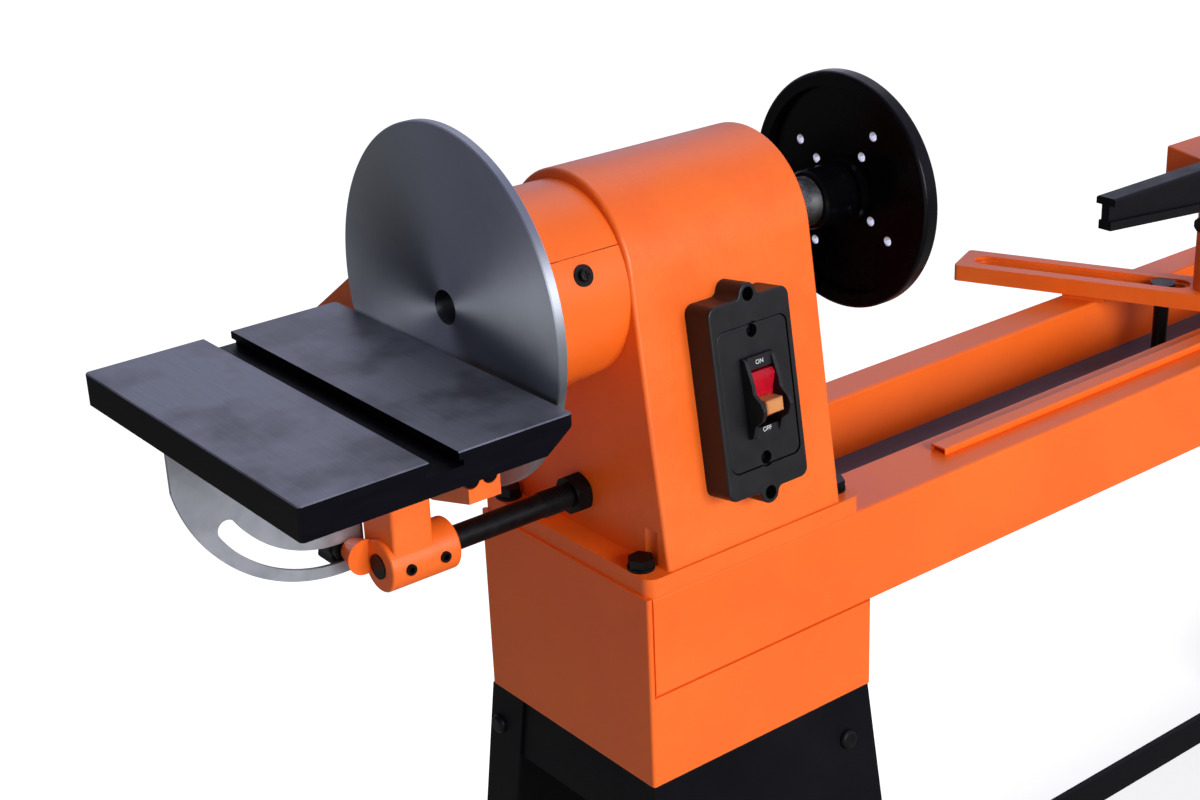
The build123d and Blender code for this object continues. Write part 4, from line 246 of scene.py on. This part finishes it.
def turned_aluminium(name, colours, centre):
    """Faced metal: fine rings about its axis, drawn at 1.1 mm so that they show, spread the light into fans.

    The wall of the hole is painted a darker grey, standing in for the shade inside the bore.
    """
    material, tree, shader, coords = new_material(
        name, Metallic=1.0, Anisotropic=0.9, Anisotropic_Rotation=0.25)
    place = add_node(tree, "ShaderNodeMapping", {
        "Vector": coords.outputs["Object"], "Location": tuple(-c for c in centre)}).outputs["Vector"]
    shades = tint_and_rough(tree, shader, place, 60 * MM, colours, (0.54, 0.6))
    spot = add_node(tree, "ShaderNodeVectorMath", {0: place, 1: (0, 1, 1)}, operation="MULTIPLY")
    out = add_node(tree, "ShaderNodeVectorMath", {0: spot.outputs["Vector"]}, operation="LENGTH")
    # painted shade: inside the bore's radius the metal gets a darker grey (4A4C4F) in place of its tint
    face = add_node(tree, "ShaderNodeMath", {
        0: out.outputs["Value"], 1: DISC_HOLE + HOLE_MARGIN}, operation="GREATER_THAN").outputs[0]
    colour = add_node(tree, "ShaderNodeMix", {0: face, 6: linear("4A4C4F"), 7: shades}, data_type="RGBA")
    tree.links.new(colour.outputs[2], shader.inputs["Base Color"])
    rings = add_node(tree, "ShaderNodeTexWave", {
        "Vector": place, "Scale": wave_scale(1.1 * MM), "Distortion": 0.6,
        "Detail": 1.0, "Detail Scale": 3.0}, wave_type="RINGS", rings_direction="X")
    bump = add_node(tree, "ShaderNodeBump", {
        "Height": rings.outputs["Fac"], "Distance": 0.006 * MM, "Strength": 1.0})
    tree.links.new(bump.outputs["Normal"], shader.inputs["Normal"])
    around = add_node(tree, "ShaderNodeTangent", direction_type="RADIAL", axis="X")
    tree.links.new(around.outputs["Tangent"], shader.inputs["Tangent"])
    return material


def turned_steel():
    """Bright turned steel: tool lines along the spindle with a faint oil film."""
    material, tree, shader, coords = new_material("turned_steel", Metallic=1.0)
    place = coords.outputs["Object"]
    tint_and_rough(tree, shader, place, 18 * MM, ("A9AAAB", "C4C4C3"), (0.2, 0.34))
    lines = add_node(tree, "ShaderNodeTexWave", {
        "Vector": place, "Scale": wave_scale(0.9 * MM), "Distortion": 0.4, "Detail": 1.0},
        wave_type="BANDS", bands_direction="X")
    bump = add_node(tree, "ShaderNodeBump", {
        "Height": lines.outputs["Fac"], "Distance": 0.008 * MM, "Strength": 1.0})
    tree.links.new(bump.outputs["Normal"], shader.inputs["Normal"])
    return material


def zinc_plate():
    """Zinc-plated sheet: pale, slightly cloudy metal with a rolled grain."""
    material, tree, shader, coords = new_material("zinc_plated_steel", Metallic=0.9)
    place = coords.outputs["Object"]
    tint_and_rough(tree, shader, place, 14 * MM, ("A3A7AF", "AFB3BA"), (0.42, 0.5))
    rolled = add_node(tree, "ShaderNodeMapping", {"Vector": place, "Scale": (0.06, 1, 1)})
    grain(tree, shader, rolled.outputs["Vector"], 0.9 * MM, 0.02 * MM)
    return material


def rolled_bar():
    """Hot-rolled bar: blue-grey mill scale with long streaks from the rolls."""
    material, tree, shader, coords = new_material("hot_rolled_steel", Specular_IOR_Level=0.15)
    streaks = add_node(tree, "ShaderNodeMapping", {"Vector": coords.outputs["Object"], "Scale": (0.05, 1, 1)})
    tint_and_rough(tree, shader, streaks.outputs["Vector"], 6 * MM, ("5A6C84", "66788F"), (0.5, 0.62))
    grain(tree, shader, coords.outputs["Object"], 1.5 * MM, 0.03 * MM)
    return material


def black_oxide_steel():
    """Black oxide on steel: oily near-black with a brownish cast and dull sheen."""
    material, tree, shader, coords = new_material("black_oxide_steel", Metallic=0.4, Specular_IOR_Level=0.15)
    place = coords.outputs["Object"]
    tint_and_rough(tree, shader, place, 8 * MM, ("08080A", "131314"), (0.32, 0.5))
    grain(tree, shader, place, 1.2 * MM, 0.03 * MM)
    return material


def moulded_plastic(name, colours, rough, texture):
    """Moulded ABS: even colour with a spark-eroded texture of a height."""
    material, tree, shader, coords = new_material(name, IOR=1.53, Specular_IOR_Level=0.25)
    place = coords.outputs["Object"]
    tint_and_rough(tree, shader, place, 20 * MM, colours, rough)
    grain(tree, shader, place, 0.7 * MM, texture)
    return material


def black_rubber():
    """Moulded rubber: matt black with a dusty bloom."""
    material, tree, shader, coords = new_material("black_rubber", IOR=1.52)
    place = coords.outputs["Object"]
    tint_and_rough(tree, shader, place, 12 * MM, ("0F0F0F", "1E1D1C"), (0.7, 0.88))
    grain(tree, shader, place, 0.8 * MM, 0.05 * MM)
    return material


def white_ink():
    """Pad-printed white ink: thin and slightly uneven."""
    material, tree, shader, coords = new_material("white_pad_print", IOR=1.5)
    tint_and_rough(tree, shader, coords.outputs["Object"], 3 * MM, ("C9CACC", "E6E6E6"), (0.5, 0.62))
    return material


def dress(material, names):
    """Give CAD nodes a material in place of the plain one."""
    for name in names.split():
        nodes[name].data.materials.clear()
        nodes[name].data.materials.append(material)


def smooth(piece, degrees):
    """Round shading except at edges sharper than an angle."""
    bpy.ops.object.select_all(action="DESELECT")
    piece.select_set(True)
    bpy.context.view_layer.objects.active = piece
    bpy.ops.object.shade_smooth_by_angle(angle=math.radians(degrees))


def settle(piece, name, material, body):
    """Put a finished piece's place into its mesh, name it, paint it and let it ride on its body."""
    piece.name = name
    piece.data.name = name
    piece.data.transform(piece.matrix_world)
    piece.matrix_world = Matrix.Identity(4)
    piece.data.materials.clear()
    piece.data.materials.append(material)
    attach(piece, body)


def switch_word(word, up, ink):
    """Printed word on one end block of the switch hood."""
    bpy.ops.object.select_all(action="DESELECT")
    bpy.ops.object.text_add()
    text = bpy.context.object
    text.data.body = word
    text.data.size = WORD_SIZE
    text.data.align_x = "CENTER"
    text.data.align_y = "CENTER"
    text.data.extrude = INK_THICK
    bpy.ops.object.convert(target="MESH")
    piece = bpy.context.object
    turn = Matrix((Vector((1, 0, 0)), SWITCH_UP, SWITCH_OUT)).transposed().to_4x4()
    spot = SWITCH_MIDDLE + SWITCH_UP * up + SWITCH_OUT * (HOOD_FACE + INK_THICK)
    piece.matrix_world = Matrix.Translation(spot) @ turn
    bpy.context.view_layer.update()
    settle(piece, "switch_word_" + word.lower(), ink, "frame")


def rod_thread(steel):
    """Thread ridge on the support rod beside its nut: one profile wound along the rod."""
    turns = int((ROD_THREAD[1] - ROD_THREAD[0]) / THREAD_PITCH)
    bpy.ops.object.select_all(action="DESELECT")
    bpy.ops.mesh.primitive_circle_add(vertices=4, radius=THREAD_RIDGE, fill_type="NOTHING")
    piece = bpy.context.object
    piece.data.transform(Matrix.Rotation(math.pi / 2, 4, "X"))
    piece.data.transform(Matrix.Translation((ROD_RADIUS, 0, 0)))
    wind = piece.modifiers.new("wind", "SCREW")
    wind.axis = "Z"
    wind.screw_offset = THREAD_PITCH
    wind.iterations = turns
    wind.steps = THREAD_STEPS
    wind.render_steps = THREAD_STEPS
    bpy.ops.object.modifier_apply(modifier="wind")
    bpy.ops.object.mode_set(mode="EDIT")
    bpy.ops.mesh.select_all(action="SELECT")
    bpy.ops.mesh.fill_holes(sides=8)
    bpy.ops.mesh.select_all(action="SELECT")
    bpy.ops.mesh.normals_make_consistent(inside=False)
    bpy.ops.object.mode_set(mode="OBJECT")
    turn = Matrix.Rotation(math.pi / 2, 4, "Y")
    piece.matrix_world = Matrix.Translation((ROD_THREAD[0], *ROD_MIDDLE)) @ turn
    bpy.context.view_layer.update()
    smooth(piece, 40)
    settle(piece, "rod_thread", steel, "frame")


# Finishes of the CAD pieces
casting = orange_enamel_casting()
sheet = orange_powder_sheet()
oxide = black_oxide_steel()
aluminium_tints = ("989DA6", "A5A9B2")
disc_metal = turned_aluminium("turned_aluminium_disc", aluminium_tints, SPINDLE_AXIS)
motor_pulley_metal = turned_aluminium("turned_aluminium_motor_pulley", aluminium_tints, MOTOR_AXIS)
dress(casting, "headstock table_bracket table_trunnion banjo tailstock_body copy_carriage "
               "template_bracket_left template_bracket_right")
dress(sheet, "front_rail rear_rail left_base_box right_base_box guard_upper guard_lower guide_strip")
dress(black_powder_sheet(), "left_stand_front_panel left_stand_rear_panel left_stand_cross_plates tie_bar "
                            "right_stand_front_panel right_stand_rear_panel right_stand_cross_plates")
dress(gloss_black_enamel(), "faceplate handwheel")
dress(satin_black_casting(), "tool_rest motor_body")
dress(ground_table(), "sanding_table")
dress(disc_metal, "sanding_disc spindle_pulley")
dress(motor_pulley_metal, "motor_pulley")
dress(turned_steel(), "spindle spindle_bearings motor_shaft tilt_pivot_pin quill live_center rest_collar "
                      "copy_slide follower")
dress(zinc_plate(), "tilt_quadrant")
dress(rolled_bar(), "guide_bar")
dress(oxide, "support_rod rod_nut headstock_bolts cover_screws stand_bolts bracket_setscrews "
             "banjo_clamp_plate banjo_clamp_bolt tailstock_clamp tailstock_lever quill_lock_lever")
dress(moulded_plastic("black_abs", ("08080A", "0F0F12"), (0.38, 0.5), 0.05 * MM),
      "switch_box switch_plate tilt_knob rest_lock_knob")
dress(moulded_plastic("red_abs", ("A80A1E", "BE1226"), (0.24, 0.34), 0.015 * MM), "switch_paddle")
dress(moulded_plastic("amber_abs", ("C07E48", "CC8A54"), (0.22, 0.32), 0.015 * MM), "safety_key")
dress(black_rubber(), "stand_feet v_belt")

# Pieces added to the CAD
ink = white_ink()
for word, up in HOOD_WORDS.items():
    switch_word(word, up, ink)
rod_thread(oxide)


# Floor, light and camera, in metres and watts
FLOOR_SIZE = 60
FOOTPRINT = (0.86, 0.22, 0.0)  # half the stand's length and depth
SHADOW_START = 0.02  # from the footprint to where the floor starts to brighten
SHADOW_REACH = 0.3  # from the footprint to where the floor is plain white
AMBIENT = 0.13  # the world's light on the object
AIM = (-0.5, 0, 0.95)
SOFT_BOXES = {  # place, size and power
    "key_front": ((-0.5, -2.9, 1.75), (1.8, 1.2), 98),
    "fill_left": ((-2.6, -1.1, 1.3), (0.8, 1.4), 3.5),
    "top_back": ((0.3, 1.0, 2.8), (2.2, 1.2), 8),
}
CAMERA_PLACE = (-1.3776, -1.0542, 1.444)
CAMERA_TURN = math.radians(37.348)  # from straight back towards the tailstock
CAMERA_DIP = math.radians(-22.903)
CAMERA_ROLL = math.radians(-2.528)
SENSOR_WIDTH = 36  # millimetres, as the focal length
FOCAL_LENGTH = 59.62


def pale_floor():
    """Plain pale floor that reads white and keeps the machine's shadow.

    Metal mirrors it as a floor that is lit more to the left and dims towards the back.
    """
    material = bpy.data.materials.new("pale_floor")
    material.use_nodes = True
    tree = material.node_tree
    tree.nodes.clear()
    path = add_node(tree, "ShaderNodeLightPath")
    mirrored = add_node(tree, "ShaderNodeMath", {
        0: path.outputs["Is Glossy Ray"], 1: path.outputs["Is Transmission Ray"]}, operation="MAXIMUM")
    place = add_node(tree, "ShaderNodeTexCoord").outputs["Object"]
    spot = add_node(tree, "ShaderNodeSeparateXYZ", {"Vector": place})
    back = add_node(tree, "ShaderNodeMapRange", {
        "Value": spot.outputs["Y"], "From Min": 0.0, "From Max": 2.0, "To Min": 1.0, "To Max": 0.2})
    left = add_node(tree, "ShaderNodeMapRange", {
        "Value": spot.outputs["X"], "From Min": -1.2, "From Max": -3.0, "To Min": 0.45, "To Max": 1.3})
    seen = add_node(tree, "ShaderNodeMath", {
        0: back.outputs["Result"], 1: left.outputs["Result"]}, operation="MULTIPLY")
    reach = add_node(tree, "ShaderNodeVectorMath", {0: place}, operation="ABSOLUTE")
    for limit, step in ((FOOTPRINT, "SUBTRACT"), ((0, 0, 0), "MAXIMUM")):
        reach = add_node(tree, "ShaderNodeVectorMath", {0: reach.outputs["Vector"], 1: limit}, operation=step)
    away = add_node(tree, "ShaderNodeVectorMath", {0: reach.outputs["Vector"]}, operation="LENGTH")
    pale = add_node(tree, "ShaderNodeMapRange", {
        "Value": away.outputs["Value"], "From Min": SHADOW_START, "From Max": SHADOW_REACH,
        "To Min": 0.6, "To Max": 1.0})
    white = add_node(tree, "ShaderNodeMath", {
        0: path.outputs["Is Camera Ray"], 1: pale.outputs["Result"]}, operation="MULTIPLY")
    matt = add_node(tree, "ShaderNodeBsdfDiffuse", {"Color": linear("CDCDD0")})
    glow = add_node(tree, "ShaderNodeEmission", {"Color": (1, 1, 1, 1), "Strength": white.outputs[0]})
    lit = add_node(tree, "ShaderNodeAddShader", {0: matt.outputs[0], 1: glow.outputs[0]})
    image = add_node(tree, "ShaderNodeEmission", {"Color": (1, 1, 1, 1), "Strength": seen.outputs[0]})
    mixed = add_node(tree, "ShaderNodeMixShader", {
        0: mirrored.outputs[0], 1: lit.outputs[0], 2: image.outputs[0]})
    add_node(tree, "ShaderNodeOutputMaterial", {"Surface": mixed.outputs[0]})
    bpy.ops.object.select_all(action="DESELECT")
    bpy.ops.mesh.primitive_plane_add(size=FLOOR_SIZE, location=(0, 0, 0))
    floor = bpy.context.object
    floor.name = "floor"
    floor.data.materials.append(material)


def soft_box(name, place, size, power):
    """Large soft lamp aimed at the headstock."""
    lamp = bpy.data.lights.new(name, "AREA")
    lamp.shape = "RECTANGLE"
    lamp.size, lamp.size_y = size
    lamp.energy = power
    holder = bpy.data.objects.new(name, lamp)
    holder.location = place
    holder.rotation_euler = (Vector(AIM) - Vector(place)).to_track_quat("-Z", "Y").to_euler()
    bpy.context.scene.collection.objects.link(holder)


def studio():
    """White room with soft lamps; metal mirrors it darker on the left."""
    world = bpy.data.worlds.new("studio")
    bpy.context.scene.world = world
    world.use_nodes = True
    tree = world.node_tree
    tree.nodes.clear()
    path = add_node(tree, "ShaderNodeLightPath")
    mirrored = add_node(tree, "ShaderNodeMath", {
        0: path.outputs["Is Glossy Ray"], 1: path.outputs["Is Transmission Ray"]}, operation="MAXIMUM")
    toward = add_node(tree, "ShaderNodeSeparateXYZ", {
        "Vector": add_node(tree, "ShaderNodeTexCoord").outputs["Generated"]})
    sides = add_node(tree, "ShaderNodeMapRange", {
        "Value": toward.outputs["X"], "From Min": -0.6, "From Max": 0.45, "To Min": 0.12, "To Max": 1.1})
    level = add_node(tree, "ShaderNodeMath", {
        0: mirrored.outputs[0], 1: sides.outputs["Result"], 2: AMBIENT}, operation="MULTIPLY_ADD")
    level = add_node(tree, "ShaderNodeMath", {
        0: path.outputs["Is Camera Ray"], 1: 1 - AMBIENT, 2: level.outputs[0]}, operation="MULTIPLY_ADD")
    sky = add_node(tree, "ShaderNodeBackground", {"Color": linear("E2E2FF"), "Strength": level.outputs[0]})
    add_node(tree, "ShaderNodeOutputWorld", {"Surface": sky.outputs[0]})
    for name, (place, size, power) in SOFT_BOXES.items():
        soft_box(name, place, size, power)


def photo_camera():
    """Camera where the picture was taken from."""
    lens = bpy.data.cameras.new("photo_camera")
    lens.sensor_fit = "HORIZONTAL"
    lens.sensor_width = SENSOR_WIDTH
    lens.lens = FOCAL_LENGTH
    camera = bpy.data.objects.new("photo_camera", lens)
    turn = Matrix.Rotation(-CAMERA_TURN, 4, "Z")
    dip = Matrix.Rotation(math.pi / 2 + CAMERA_DIP, 4, "X")
    roll = Matrix.Rotation(CAMERA_ROLL, 4, "Z")
    camera.matrix_world = Matrix.Translation(CAMERA_PLACE) @ turn @ dip @ roll
    bpy.context.scene.collection.objects.link(camera)
    bpy.context.scene.camera = camera


pale_floor()
studio()
photo_camera()
bpy.context.scene.view_settings.view_transform = "Standard"
